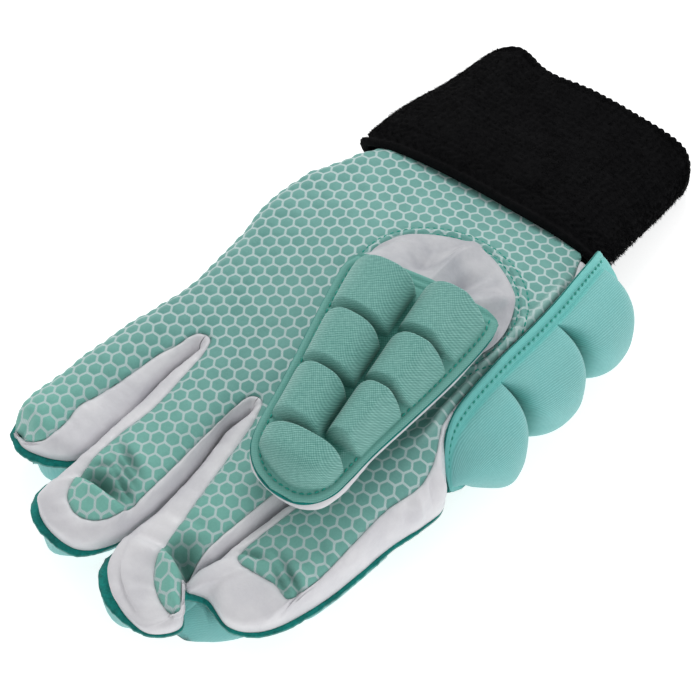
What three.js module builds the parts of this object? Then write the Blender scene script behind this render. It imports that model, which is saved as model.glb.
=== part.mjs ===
import * as THREE from 'three';
import { mergeVertices } from 'three/addons/utils/BufferGeometryUtils.js';

// A left-hand indoor hockey glove lying palm up on the foam of its back, thumb folded over the palm.
// Millimetres, +Y from the fingertips to the wrist, +X to the thumb side, +Z up, the floor at z = 0.

// Driving sizes
const middle = { x: -6.7, y: 17.8 };                  // plan centre of the whole glove
const gap = 0.35;                                     // between sewn pieces
const cloth = 1.2;                                    // palm panel and gusset walls
const knit = 2.6;                                     // cuff wall
const backing = { low: 13.6, high: 14.8 };            // sheet between a finger and its foam
const foam = { top: 13.3, margin: 2, floor: 0, inset: 0.6, pressed: 1.45 };    // pads under it
const wallFoot = backing.high + gap;                  // where the gusset walls stand
const panelStep = 7.5;                                // spacing of the palm panel's faces
const rollWidth = 9;                                  // how far in from a seam the panel starts to bend

const finishes = {
  hexPrint: { color: 0x7cc4b4, roughness: 0.75 },
  gusset: { color: 0xe6e4ea, roughness: 0.55 },
  foamKnit: { color: 0x6fc0b0, roughness: 0.8 },
  tealFelt: { color: 0x138a7d, roughness: 0.85 },
  cuffKnit: { color: 0x111113, roughness: 0.95 },
};

// Rows of a table with named columns
const table = (columns, rows) =>
  rows.map((row) => Object.fromEntries(columns.map((name, i) => [name, row[i]])));

// Height of the palm's cloth at four places across, from the fingertips to the wrist
const palmAcross = [-60, -15, 15, 40];
const palmHeights = table(['y', 'ulnar', 'heel', 'thumb', 'radial'], [
  [-115, 26.5, 28, 27, 27],
  [-90, 27.5, 29.5, 29, 29],
  [-60, 28, 31, 31, 30.5],
  [-35, 28.5, 32.5, 32, 32.5],
  [-10, 28.5, 34.5, 34.5, 35.5],
  [15, 28, 36, 37, 37.5],
  [40, 27.5, 37, 41, 37.5],
  [58, 26.5, 34, 38, 35],
  [75, 24.5, 28.5, 30, 30],
  [84, 21.5, 24.5, 25.6, 25.8],
  [95, 19.5, 21.5, 21.5, 20.5],
]);

// Dents and folds of the palm panel: place, heading in degrees from +X, half sizes along and across, depth
const folds = table(['x', 'y', 'heading', 'along', 'across', 'depth'], [
  [-33, -86.5, 2, 11, 4, 4.5],
  [-28, -76, -25, 8, 2.4, 1.6],
  [3.5, -90, -12, 9, 5, 6],
  [34, -74, 152, 9, 2, 2.2],
  [38, -57, -35, 7, 2.2, 1.2],
  [34, 12, 82, 30, 4, 5],
]);

// Each finger's way round: where the palm's cloth ends (seam), how far out the white wall bulges (edge),
// how far the cloth has rolled down at the seam (drop) and how far the backing stands out past the wall
// (flange); rows run down the left side, round the tip and back up
const wayRound = ['seamX', 'seamY', 'edgeX', 'edgeY', 'drop', 'flange'];
const fingers = {
  pinky: table(wayRound, [
    [-70.4, -87.5, -73, -88.6, 5, 1.8],
    [-66.3, -88.8, -69.2, -91.2, 5, 1.6],
    [-61.8, -86.6, -62.8, -90.6, 4, 1.8],
    [-60, -82, -55.6, -86.4, 3.5, 2],
    [-59.6, -76, -50.4, -80.5, 3, 1.4],
    [-60.4, -69, -48.6, -70, 2.5, 0],
    [-58.2, -61, -48.1, -60, 2.5, 0],
    [-55.6, -50, -47.9, -49, 2.5, 0],
    [-53.2, -38, -47.9, -38, 2, 0],
    [-50.5, -31, -46.8, -31.5, 1.5, 0],
    [-49.3, -26.2, -45.6, -28.4, 1, 0],
    [-47.6, -23.2, -45.1, -27, 0.8, 0],
    [-45.2, -22.1, -44.9, -26.6, 0.6, 0],
  ]),
  ring: table(wayRound, [
    [-44.4, -22.1, -44.1, -26.6, 0.6, 0],
    [-42.2, -23, -44.1, -27, 0.8, 0],
    [-41.1, -26.4, -44.5, -28.4, 1, 0],
    [-40.6, -31, -46, -32, 1.5, 0],
    [-40.3, -40, -47.2, -40, 2, 0],
    [-39.9, -54, -47.3, -54, 2.5, 0],
    [-41.8, -68, -47.6, -68, 2.5, 0],
    [-42.3, -80, -48, -81, 2.5, 0.2],
    [-42, -89, -49.8, -93, 3, 2.2],
    [-39.8, -96.5, -47.8, -102.6, 3.5, 3],
    [-33, -99.6, -38.5, -106.8, 4, 2.4],
    [-26, -97.4, -27, -105.8, 3.5, 2],
    [-21, -90, -19.8, -97.5, 3, 0.2],
    [-19.7, -79, -16.2, -82.5, 2.5, 0],
    [-19.3, -66, -15.5, -66, 2.5, 0],
    [-19.3, -52, -17, -51, 2.5, 0],
    [-18.8, -42, -17.6, -42, 2, 0],
    [-17.9, -34.6, -15.3, -36.6, 1, 0],
    [-16.6, -31.2, -14.6, -34.4, 0.8, 0],
    [-14.5, -30, -14.4, -34, 0.6, 0],
  ]),
  middle: table(wayRound, [
    [-13.8, -30, -13.6, -34, 0.6, 0],
    [-11.8, -31, -13.7, -34.4, 0.8, 0],
    [-10.3, -34.6, -14.5, -36.6, 1, 0],
    [-8.8, -41, -16.8, -43, 1.5, 0],
    [-7.2, -54, -16.1, -52, 2.5, 0],
    [-5.2, -68, -14.7, -66, 2.5, 0],
    [-3.4, -81, -14.8, -82, 3, 0],
    [-2.2, -91, -16.8, -94, 3.5, 0],
    [1, -98.6, -14.2, -104.2, 4.5, 3.4],
    [6.4, -103.2, -6, -110.8, 6, 3.6],
    [11.8, -104, 4, -113.9, 7, 1.6],
    [15, -101, 12.6, -113, 6.5, 0.5],
    [13.6, -96, 19, -103.5, 4.5, 0.6],
    [11.4, -91, 15.2, -94.6, 3.5, 0],
    [10, -86, 12.4, -88, 3, 0],
    [9.8, -78, 12.3, -80, 2.5, 0],
    [11.2, -66, 14.6, -67, 2.5, 0],
    [13.2, -52, 17, -52, 2, 0],
    [16, -43, 18.6, -44, 1.5, 0],
    [18.2, -37, 19.9, -39.4, 1, 0],
    [20.8, -34, 20.6, -36.2, 1, 0],
  ]),
  index: table(wayRound, [
    [22.3, -33.9, 21.9, -36.2, 1, 0],
    [23.8, -37.4, 20.7, -39.4, 1, 0],
    [23.4, -46, 18.6, -47.5, 1.5, 0],
    [21.4, -58, 16.4, -58.5, 2, 0],
    [19.6, -69, 14.4, -72, 2.5, 0],
    [18.8, -76.5, 13.6, -84, 3, 0],
    [22, -80.6, 15.4, -91.8, 3.5, 0],
    [27.6, -81.2, 20, -94.2, 4, 2.2],
    [34, -79.4, 29.5, -94, 4, 1.8],
    [39.8, -77.6, 37.4, -89.8, 3.5, 1.6],
    [43.8, -73, 43.2, -81, 3, 1.6],
    [44.8, -63, 47.2, -66, 2.5, 1.4],
    [44.9, -50, 49, -52, 2.5, 1.2],
    [44.3, -34, 50.2, -37, 2.5, 1],
    [44.4, -21, 53, -25, 2.5, 0.6],
    [43.8, -10.5, 53.6, -16, 2, 0],
    [41.4, -2, 45, -3.4, 1.5, 0],
  ]),
};
const fingerSteps = 2;                                // faces to each row

// Little-finger side, where the palm's cloth wraps round: where it turns over and how far out it reaches
const ulnarSide = table(['y', 'turn', 'edge'], [
  [-86.4, -70.7, -74.4],
  [-79, -66.8, -77],
  [-66, -64, -75.8],
  [-54, -63, -74.4],
  [-38, -61.5, -71.8],
  [-22, -58.5, -68.4],
  [-8, -56, -65.4],
  [4, -56, -65.6],
  [20, -57, -66.6],
  [36, -58, -69],
  [50, -57, -67.5],
  [62, -53, -62.5],
  [73, -48.5, -55.4],
  [80, -44, -49.6],
  [84, -42.5, -46.6],
]);
const ulnarStep = 7.5;

// Thumb side, where the panel ends in a folded ridge beside the side pad
const radialSide = table(['y', 'x', 'wall'], [
  [-2, 41.4, 44.6],
  [5, 39.6, 42.2],
  [16, 38.8, 41.6],
  [31, 38.8, 41.6],
  [47, 39.2, 41.8],
  [62, 38.4, 41.4],
  [75, 36.2, 39.8],
  [85, 33.4, 37.4],
  [88, 32.8, 36.6],
]);
const ridge = { inset: 3, height: 2.2, spread: 1.7, from: -8, full: 8, fades: 82, ends: 91 };

// Edge of the panel under the cuff, and the hole that the thumb comes out of
const panelTop = table(['x', 'y'], [[-42.5, 84], [-25, 87.5], [5, 90.5], [22, 90.3], [29, 89.1], [32.8, 88]]);
const thumbHole = { x: 7.2, y: 36.5, halfX: 26.6, halfY: 24, sides: 22 };

// Knitted cuff: a flat tube, its sections from the palm to its free end
const cuffRows = table(['along', 'centre', 'half', 'low', 'high'], [
  [0, -13.4, 48.6, 8, 30.5],
  [0.12, -13.6, 49, 6.5, 29.8],
  [0.35, -13.8, 48.4, 4, 27],
  [0.7, -12.6, 46.4, 1.6, 22.5],
  [1, -12, 45, 0, 20.5],
]);
const cuffNear = table(['x', 'y'], [
  [-63, 76],
  [-56, 76.6],
  [-48, 78.4],
  [-36, 80.2],
  [-20, 82],
  [0, 84.5],
  [20, 87.6],
  [36, 91.2],
]);
const cuffFar = table(['x', 'y'], [
  [-57, 145],
  [-46, 146.4],
  [-32, 143.6],
  [-14, 147.2],
  [6, 149.6],
  [20, 151],
  [36, 150],
]);
const cuffCorner = 11;                                // radius of the free end's corners
const cuffSquare = { wide: 0.92, tall: 0.82 };         // 1 is an ellipse, less is squarer
const cuffFaces = { round: 28, along: 6 };

// Foam under each finger: its lobes, and how far the last one leans out past the tip and to the side
const fingerPads = {
  pinky: { lobes: [[-34, -54], [-56.5, -73.5], [-76, -91.5]], lean: 0.5, shift: 1.5 },
  ring: { lobes: [[-38, -60], [-62.5, -83.5], [-86, -108]], lean: 1.2, shift: -1 },
  middle: { lobes: [[-42, -65], [-67.5, -90], [-92.5, -114.5]], lean: 0.5, shift: -4.5 },
  index: { lobes: [[-41.5, -57], [-59.5, -75], [-77.5, -94]], lean: 7, shift: -7 },
};
const lobeRound = { flat: 5, arch: 2.3 };             // how square a lobe is along its row and across it
const crowned = [0.11, 0.89];                         // grid lines of a lobe that shows, shares of its length
const flattened = [0.18, 0.82];                       // and of one that the glove lies on
const padColumns = [-1, -0.8, -0.5, 0.5, 0.8, 1];     // grid lines across a finger's pad

// Hand part of the back
const handEnd = { low: -23, high: 76.5 };
const handPad = { columns: [[-60, -32], [-29, -1], [2, 30]], rows: [[-20, 5], [8, 33], [36, 61]] };

// Side pad over the index knuckle: its top edge, and the side that it wraps, from that edge down
const sideTop = table(['y', 'x', 'z'], [
  [-7.6, 53.4, 23.6],
  [-5, 50.6, 29.4],
  [0, 46.8, 34.5],
  [8, 43, 38],
  [17, 41.2, 39.4],
  [31, 40.3, 39.8],
  [47, 40.7, 39.4],
  [62, 40, 38.6],
  [75, 38.2, 36.6],
  [85, 36.4, 33.6],
  [91, 34.6, 30.4],
]);
const sideProfile = table(['down', 'out', 'drop'], [
  [0, 0, 0],
  [6, 4.2, 4.3],
  [14, 8.2, 11.2],
  [24, 10.4, 21],
  [33, 9.6, 30],
  [40, 6.6, 36.2],
]);
const sidePad = {
  thick: 1.6,
  film: 0.8,
  lobeHeight: 12.4,
  lobes: [[-2.4, 25], [25.8, 55], [55.8, 86]],
  margin: 5.2,
  low: 37,
  foot: 4,
};

// Thumb: its own frame at the foot of its pad; reach runs to the tip, side to the right, up from the palm
const thumb = {
  foot: new THREE.Vector3(8, 30.4, 52),
  lean: 0.17,
  slope: -0.06,
  roll: 5,
  pad: 1.6,
  film: 0.8,
  lobeHeight: 12.8,
};
const thumbOutline = table(['reach', 'left', 'right'], [
  [-3, 22, 21],
  [-1, 26, 26.5],
  [7, 28, 27.2],
  [25, 27.4, 25.8],
  [45, 26.6, 23.6],
  [62, 25.4, 21],
  [73, 23.4, 18.6],
  [81, 19.6, 15],
  [87, 13.6, 9.6],
  [90.3, 6, 3],
]);
// Lobes of the thumb's pad: their reach along it and their share of its width, two columns and the tip
const thumbLobes = [
  { along: [1.8, 24.8], across: [-0.87, -0.06] },
  { along: [26.6, 46.8], across: [-0.87, -0.06] },
  { along: [48.6, 69.2], across: [-0.87, -0.06] },
  { along: [-0.6, 20.8], across: [0, 0.87] },
  { along: [22.6, 42.4], across: [0, 0.85] },
  { along: [44.2, 66.7], across: [0, 0.84] },
  { along: [70.8, 87.4], across: [-0.86, 0.82] },
];
const thumbColumns = [-1, -0.87, -0.72, -0.465, -0.2, -0.06, 0, 0.15, 0.42, 0.7, 0.85, 1];
const thumbShell = { inset: 0.9, seam: 5.4, depth: 12, start: 17.5, closes: 68, end: 88 };
// Cloth between the palm's hole and the thumb: angle round the hole in degrees, place in the thumb's frame
const thumbRootRows = table(['angle', 'reach', 'side', 'up', 'puff'], [
  [215, 16.5, -25, -5.6, 0.5],
  [200, 9, -25.6, -3.3, 1.5],
  [180, 1, -23.5, -3.3, 2],
  [150, -1.6, -14, -3.3, 2.2],
  [90, -1.8, 0, -3.3, 2.4],
  [30, -1.6, 14, -3.3, 2.2],
  [0, 1, 22.8, -3.3, 2],
  [-20, 9, 24.8, -3.3, 1.5],
  [-38, 16.5, 23.6, -5.6, 0.5],
  [-48, 16.5, 22, -9.2, 0],
  [-65, 16.5, 12, -11.7, 0],
  [-90, 16.5, 0, -11.9, 0],
  [-115, 16.5, -12, -11.7, 0],
  [-134, 16.5, -23, -9.2, 0],
]);

// Smooth column of a table, read at any place along it
function column(rows, along, name) {
  const sorted = [...rows].sort((a, b) => a[along] - b[along]);
  const at = sorted.map((row) => row[along]);
  const value = sorted.map((row) => row[name]);
  const slope = value.map((_, i) => {
    const before = Math.max(i - 1, 0);
    const after = Math.min(i + 1, value.length - 1);
    return (value[after] - value[before]) / (at[after] - at[before]);
  });
  return (place) => {
    let i = 0;
    while (i < at.length - 2 && place > at[i + 1]) i += 1;
    const width = at[i + 1] - at[i];
    const s = THREE.MathUtils.clamp((place - at[i]) / width, 0, 1);
    const rise = value[i] + (value[i + 1] - value[i]) * s * s * (3 - 2 * s);
    return rise + width * s * (1 - s) * (slope[i] * (1 - s) - slope[i + 1] * s);
  };
}

// Points on a smooth path through table rows, each a blend of all the row's columns
function alongRows(rows, steps) {
  const names = Object.keys(rows[0]);
  const numbered = rows.map((row, i) => ({ ...row, index: i }));
  const curves = names.map((name) => column(numbered, 'index', name));
  const count = (rows.length - 1) * steps;
  return Array.from({ length: count + 1 }, (_, k) => {
    const place = k / steps;
    return Object.fromEntries(names.map((name, c) => [name, curves[c](place)]));
  });
}

const mix = THREE.MathUtils.lerp;
const upright = new THREE.Vector3(0, 0, 1);

// Closed solid between an outer and an inner point for every corner of a grid of faces
function gridSolid(rows, columns, outer, inner, closedRound = false) {
  const points = [];
  const faces = [];
  const layer = (rows + 1) * (columns + 1);
  for (const place of [outer, inner]) {
    for (let i = 0; i <= rows; i += 1) {
      for (let j = 0; j <= columns; j += 1) {
        points.push(place(i / rows, (closedRound ? j % columns : j) / columns));
      }
    }
  }
  const id = (side, i, j) => side * layer + i * (columns + 1) + j;
  const quad = (a, b, c, d) => faces.push([a, b, c], [a, c, d]);
  for (let i = 0; i < rows; i += 1) {
    for (let j = 0; j < columns; j += 1) {
      quad(id(0, i, j), id(0, i + 1, j), id(0, i + 1, j + 1), id(0, i, j + 1));
      quad(id(1, i, j), id(1, i, j + 1), id(1, i + 1, j + 1), id(1, i + 1, j));
    }
  }
  for (let j = 0; j < columns; j += 1) {
    quad(id(0, 0, j), id(0, 0, j + 1), id(1, 0, j + 1), id(1, 0, j));
    quad(id(0, rows, j + 1), id(0, rows, j), id(1, rows, j), id(1, rows, j + 1));
  }
  if (!closedRound) {
    for (let i = 0; i < rows; i += 1) {
      quad(id(0, i + 1, 0), id(0, i, 0), id(1, i, 0), id(1, i + 1, 0));
      quad(id(0, i, columns), id(0, i + 1, columns), id(1, i + 1, columns), id(1, i, columns));
    }
  }
  return solidGeometry(points, faces);
}

// Sheet of faces given an even thickness behind it, its rim closed; a corner may have a way of its own
function thicken(points, faces, thickness, ownWay = () => null) {
  const normals = points.map(() => new THREE.Vector3());
  const directed = new Set();
  for (const [a, b, c] of faces) {
    const normal = points[b].clone().sub(points[a]).cross(points[c].clone().sub(points[a]));
    for (const corner of [a, b, c]) normals[corner].add(normal);
    for (const [from, to] of [[a, b], [b, c], [c, a]]) directed.add(`${from} ${to}`);
  }
  const behind = points.map((point, i) => {
    const normal = ownWay(i) ?? normals[i].normalize();
    return point.clone().addScaledVector(normal, -thickness);
  });
  const count = points.length;
  const closed = [...faces];
  for (const [a, b, c] of faces) {
    closed.push([a + count, c + count, b + count]);
    for (const [from, to] of [[a, b], [b, c], [c, a]]) {
      if (directed.has(`${to} ${from}`)) continue;
      closed.push([to, from, from + count], [to, from + count, to + count]);
    }
  }
  return solidGeometry([...points, ...behind], closed);
}

// Geometry with shared corners, turned to face outwards
function solidGeometry(points, faces) {
  let volume = 0;
  for (const [a, b, c] of faces) volume += points[a].dot(points[b].clone().cross(points[c]));
  const outward = volume < 0 ? faces.map(([a, b, c]) => [a, c, b]) : faces;
  const geometry = new THREE.BufferGeometry();
  const places = points.flatMap((point) => point.toArray());
  geometry.setAttribute('position', new THREE.Float32BufferAttribute(places, 3));
  geometry.setIndex(outward.flat());
  const merged = mergeVertices(geometry, 1e-3);
  const index = merged.index.array;
  const kept = [];
  for (let i = 0; i < index.length; i += 3) {
    const [a, b, c] = index.slice(i, i + 3);
    if (a !== b && b !== c && c !== a) kept.push(a, b, c);
  }
  merged.setIndex(kept);
  return merged;
}

// Distance from a point to an outline, and the value of a column there
function nearestOnOutline(outline, x, y, name) {
  let best = { distance: Infinity, value: 0 };
  outline.forEach((from, i) => {
    const to = outline[(i + 1) % outline.length];
    const dx = to.x - from.x;
    const dy = to.y - from.y;
    const along = ((x - from.x) * dx + (y - from.y) * dy) / (dx * dx + dy * dy || 1);
    const s = THREE.MathUtils.clamp(along, 0, 1);
    const distance = Math.hypot(x - from.x - s * dx, y - from.y - s * dy);
    if (distance < best.distance) best = { distance, value: mix(from[name], to[name], s) };
  });
  return best;
}

function isInside(outline, x, y) {
  let inside = false;
  outline.forEach((from, i) => {
    const to = outline[(i + 1) % outline.length];
    const crosses = (from.y > y) !== (to.y > y);
    if (crosses && x < from.x + ((to.x - from.x) * (y - from.y)) / (to.y - from.y)) inside = !inside;
  });
  return inside;
}

// Delaunay faces over scattered plan points
function spreadFaces(points) {
  const far = 1e4;
  const all = [...points, { x: -far, y: -far }, { x: far, y: -far }, { x: 0, y: far }];
  const count = points.length;
  const circle = (a, b, c) => {
    const [p, q, r] = [all[a], all[b], all[c]];
    const d = 2 * (p.x * (q.y - r.y) + q.x * (r.y - p.y) + r.x * (p.y - q.y));
    const [pp, qq, rr] = [p, q, r].map((v) => v.x * v.x + v.y * v.y);
    const x = (pp * (q.y - r.y) + qq * (r.y - p.y) + rr * (p.y - q.y)) / d;
    const y = (pp * (r.x - q.x) + qq * (p.x - r.x) + rr * (q.x - p.x)) / d;
    return { corners: [a, b, c], x, y, reach: Math.hypot(p.x - x, p.y - y) };
  };
  let cells = [circle(count, count + 1, count + 2)];
  points.forEach((point, index) => {
    const hit = cells.filter((cell) => Math.hypot(point.x - cell.x, point.y - cell.y) < cell.reach);
    const edges = new Map();
    for (const { corners: [a, b, c] } of hit) {
      for (const [from, to] of [[a, b], [b, c], [c, a]]) {
        if (!edges.delete(`${to} ${from}`)) edges.set(`${from} ${to}`, [from, to]);
      }
    }
    cells = cells.filter((cell) => !hit.includes(cell));
    for (const [from, to] of edges.values()) cells.push(circle(from, to, index));
  });
  return cells.map((cell) => cell.corners).filter((corners) => corners.every((corner) => corner < count));
}

// Outline of the palm panel in plan, anticlockwise from the little finger's tip
const ulnarTurn = column(ulnarSide, 'y', 'turn');
const ulnarEdge = column(ulnarSide, 'y', 'edge');
const radialX = column(radialSide, 'y', 'x');
const fingerWays = {};
for (const [name, rows] of Object.entries(fingers)) fingerWays[name] = alongRows(rows, fingerSteps);

function evenPlaces(from, to, step) {
  const count = Math.max(1, Math.round(Math.abs(to - from) / step));
  return Array.from({ length: count + 1 }, (_, i) => mix(from, to, i / count));
}

const ulnarPlaces = evenPlaces(ulnarSide.at(-1).y, ulnarSide[0].y, ulnarStep);
const tipDrop = (y) => fingers.pinky[0].drop * (1 - THREE.MathUtils.smoothstep(y, ulnarSide[0].y, -81.5));
const ulnarLine = ulnarPlaces.map((y) => ({ x: ulnarTurn(y), y, drop: tipDrop(y) }));
const seamPoint = (row) => ({ x: row.seamX, y: row.seamY, drop: row.drop });
const fingerLine = Object.values(fingerWays).flat().map(seamPoint);
const radialLine = evenPlaces(radialSide[0].y, radialSide.at(-1).y, ulnarStep).slice(1)
  .map((y) => ({ x: radialX(y), y, drop: 0.5 }));
const topLine = alongRows([...panelTop].reverse(), 5).slice(1, -1).map(({ x, y }) => ({ x, y, drop: 0 }));
const panelOutline = [...ulnarLine, ...fingerLine.slice(1), ...radialLine, ...topLine];

// Point at an angle round the thumb's hole, some way inside its edge
function holePoint(angle, inset = 0) {
  const x = thumbHole.x + (thumbHole.halfX - inset) * Math.cos(angle);
  const y = thumbHole.y + (thumbHole.halfY - inset) * Math.sin(angle);
  return { x, y };
}

const holeTurn = (2 * Math.PI) / thumbHole.sides;
const holeLine = Array.from({ length: thumbHole.sides }, (_, i) => holePoint(i * holeTurn));

// Height of the palm's cloth over the plan
const heightColumns = ['ulnar', 'heel', 'thumb', 'radial'].map((name) => column(palmHeights, 'y', name));

function palmHeight(x, y) {
  const across = column(palmAcross.map((place, i) => ({ place, z: heightColumns[i](y) })), 'place', 'z');
  const near = nearestOnOutline(panelOutline, x, y, 'drop');
  const roll = Math.max(0, 1 - near.distance / rollWidth);
  let z = across(x) - near.value * roll * roll;
  for (const fold of folds) {
    const turn = THREE.MathUtils.degToRad(fold.heading);
    const along = (x - fold.x) * Math.cos(turn) + (y - fold.y) * Math.sin(turn);
    const beside = (y - fold.y) * Math.cos(turn) - (x - fold.x) * Math.sin(turn);
    z -= fold.depth * Math.exp(-((along / fold.along) ** 2) - (beside / fold.across) ** 2);
  }
  const { from, full, fades, ends } = ridge;
  const rises = THREE.MathUtils.smoothstep(y, from, full) - THREE.MathUtils.smoothstep(y, fades, ends);
  z += ridge.height * rises * Math.exp(-(((radialX(y) - x - ridge.inset) / ridge.spread) ** 2));
  return z;
}

// Quarter turn from a seam out to an edge and straight down from there: 0 at the seam, 1 at the foot
function wallPoint(seam, edge, foot, place) {
  const turned = Math.min(place / 0.7, 1) * (Math.PI / 2);
  const belly = mix(seam.z, foot, 0.62);
  const below = Math.max(0, (place - 0.7) / 0.3);
  const x = mix(seam.x, edge.x, Math.sin(turned));
  const y = mix(seam.y, edge.y, Math.sin(turned));
  return new THREE.Vector3(x, y, belly + (seam.z - belly) * Math.cos(turned) - (belly - foot) * below);
}

function palmPanel() {
  const places = [...panelOutline, ...holeLine].map(({ x, y }) => ({ x, y }));
  const rowStep = panelStep * Math.sin(Math.PI / 3);
  const margin = panelStep * 0.55;
  for (const y of evenPlaces(radialSide[0].y, radialSide.at(-1).y - margin, panelStep)) {
    places.push({ x: radialX(y) - ridge.inset, y });
  }
  const ridgePoints = places.slice(panelOutline.length + holeLine.length);
  let shift = 0;
  for (let y = -110.03; y < 95; y += rowStep) {
    shift = panelStep / 2 - shift;
    for (let x = -72.01 + shift; x < 46; x += panelStep) {
      const clearOfRidge = ridgePoints.every((point) => Math.hypot(point.x - x, point.y - y) > margin);
      const inCloth = isInside(panelOutline, x, y) && !isInside(holeLine, x, y);
      const clearOfSeam = nearestOnOutline(panelOutline, x, y, 'drop').distance > margin;
      const clearOfHole = nearestOnOutline(holeLine, x, y, 'x').distance > margin;
      if (inCloth && clearOfSeam && clearOfHole && clearOfRidge) places.push({ x, y });
    }
  }
  const points = places.map(({ x, y }) => new THREE.Vector3(x, y, palmHeight(x, y)));
  const faces = spreadFaces(places).filter((corners) => {
    const x = corners.reduce((sum, corner) => sum + places[corner].x, 0) / 3;
    const y = corners.reduce((sum, corner) => sum + places[corner].y, 0) / 3;
    return isInside(panelOutline, x, y) && !isInside(holeLine, x, y);
  });
  // The little finger's side: rows of faces from the turn down to the backing
  const down = 5;
  let above = ulnarLine.map((_, i) => i);
  for (let row = 1; row <= down; row += 1) {
    const next = above.map((_, i) => {
      const seam = points[i];
      points.push(wallPoint(seam, { x: ulnarEdge(seam.y), y: seam.y }, wallFoot, row / down));
      return points.length - 1;
    });
    for (let i = 0; i + 1 < above.length; i += 1) {
      faces.push([above[i], next[i], next[i + 1]], [above[i], next[i + 1], above[i + 1]]);
    }
    above = next;
  }
  const isRim = (i) => i >= ulnarLine.length && i < panelOutline.length + holeLine.length;
  const turned = faces.map((corners) => facingUp(points, corners));
  return thicken(points, turned, cloth, (i) => (isRim(i) ? upright : null));
}

// Corner order that turns a face of the palm up, or out where it stands upright
function facingUp(points, [a, b, c]) {
  const normal = points[b].clone().sub(points[a]).cross(points[c].clone().sub(points[a]));
  const stands = Math.abs(normal.z) < 1e-6 * normal.length();
  const out = stands ? -normal.x : normal.z;
  return out < 0 ? [a, c, b] : [a, b, c];
}

function fingerWall(way) {
  const down = 4;
  const points = [];
  const faces = [];
  way.forEach((row, i) => {
    const before = way[Math.max(i - 1, 0)];
    const after = way[Math.min(i + 1, way.length - 1)];
    const dx = after.seamX - before.seamX;
    const dy = after.seamY - before.seamY;
    const reach = (1.6 * gap) / Math.hypot(dx, dy);
    const z = palmHeight(row.seamX, row.seamY);
    const seam = { x: row.seamX + dy * reach, y: row.seamY - dx * reach, z };
    for (let k = 0; k <= down; k += 1) {
      points.push(wallPoint(seam, { x: row.edgeX, y: row.edgeY }, wallFoot, k / down));
    }
  });
  for (let i = 0; i + 1 < way.length; i += 1) {
    for (let k = 0; k < down; k += 1) {
      const a = i * (down + 1) + k;
      const b = a + down + 1;
      faces.push([a, a + 1, b + 1], [a, b + 1, b]);
    }
  }
  return thicken(points, faces, cloth, (i) => (i % (down + 1) === 0 ? upright : null));
}

// Plan outline of a finger's backing: the wall's edge moved out by its flange, closed across at the palm
function backingOutline(way, inset) {
  return way.map((row, i) => {
    const before = way[Math.max(i - 1, 0)];
    const after = way[Math.min(i + 1, way.length - 1)];
    const dx = after.edgeX - before.edgeX;
    const dy = after.edgeY - before.edgeY;
    const reach = (row.flange - inset) / Math.hypot(dx, dy);
    return { x: row.edgeX + dy * reach, y: row.edgeY - dx * reach };
  });
}

// Way round a finger's back: the little finger's starts at its tip, so its outer side goes before it
function backWay(name, way) {
  if (name !== 'pinky') return way;
  const places = evenPlaces(handEnd.low - 2 * gap, ulnarSide[0].y + 3, 10);
  return [...places.map((y) => ({ edgeX: ulnarEdge(y), edgeY: y, flange: 0.8 })), ...way];
}

// Flat sheet of a plan outline between two heights
function flatSheet(outline, low, high) {
  const corners = outline.map(({ x, y }) => new THREE.Vector2(x, y));
  const options = { depth: high - low, bevelEnabled: false };
  const sheet = new THREE.ExtrudeGeometry(new THREE.Shape(corners), options);
  sheet.translate(0, 0, low);
  sheet.deleteAttribute('normal');
  sheet.deleteAttribute('uv');
  return mergeVertices(sheet, 1e-3);
}

// How high a lobe stands at a place in it, from 0 at its sides to 1 on top
function lobeShape(along, across) {
  const row = Math.max(0, 1 - Math.abs(along) ** lobeRound.flat) ** (1 / lobeRound.flat);
  const arch = Math.max(0, 1 - Math.abs(across) ** lobeRound.arch) ** (1 / lobeRound.arch);
  return row * arch;
}

// Places of the grid lines that follow a row of lobes: both ends of each and shares of its length between
function lobeLines(start, spans, end, shares) {
  const lines = spans.flatMap(([from, to]) => [from, ...shares.map((share) => mix(from, to, share)), to]);
  return [start, ...lines, end];
}

function spanOf(place, spans) {
  const found = spans.find(([from, to]) => place > from && place < to);
  return found ? (2 * place - found[0] - found[1]) / (found[1] - found[0]) : 1;
}

// Pad hanging under the backing: margin at the top, lobes down to the floor
function hangingPad(rows, columns, acrossAt, rowSpans, columnSpans, lean = 0, shift = 0) {
  const depth = foam.top - foam.floor;
  const top = (i, j) => {
    const y = rows[Math.round(i * (rows.length - 1))];
    return new THREE.Vector3(acrossAt(y, columns[Math.round(j * (columns.length - 1))]), y, foam.top);
  };
  const under = (i, j) => {
    const y = rows[Math.round(i * (rows.length - 1))];
    const side = columns[Math.round(j * (columns.length - 1))];
    const lobe = lobeShape(spanOf(y, rowSpans), spanOf(side, columnSpans));
    const drop = foam.margin + (depth - foam.margin) * Math.min(1, foam.pressed * lobe);
    const last = y < rowSpans[0][1] ? lobe : 0;
    return new THREE.Vector3(acrossAt(y, side) + shift * last, y - lean * last, foam.top - drop);
  };
  return gridSolid(rows.length - 1, columns.length - 1, top, under);
}

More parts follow.
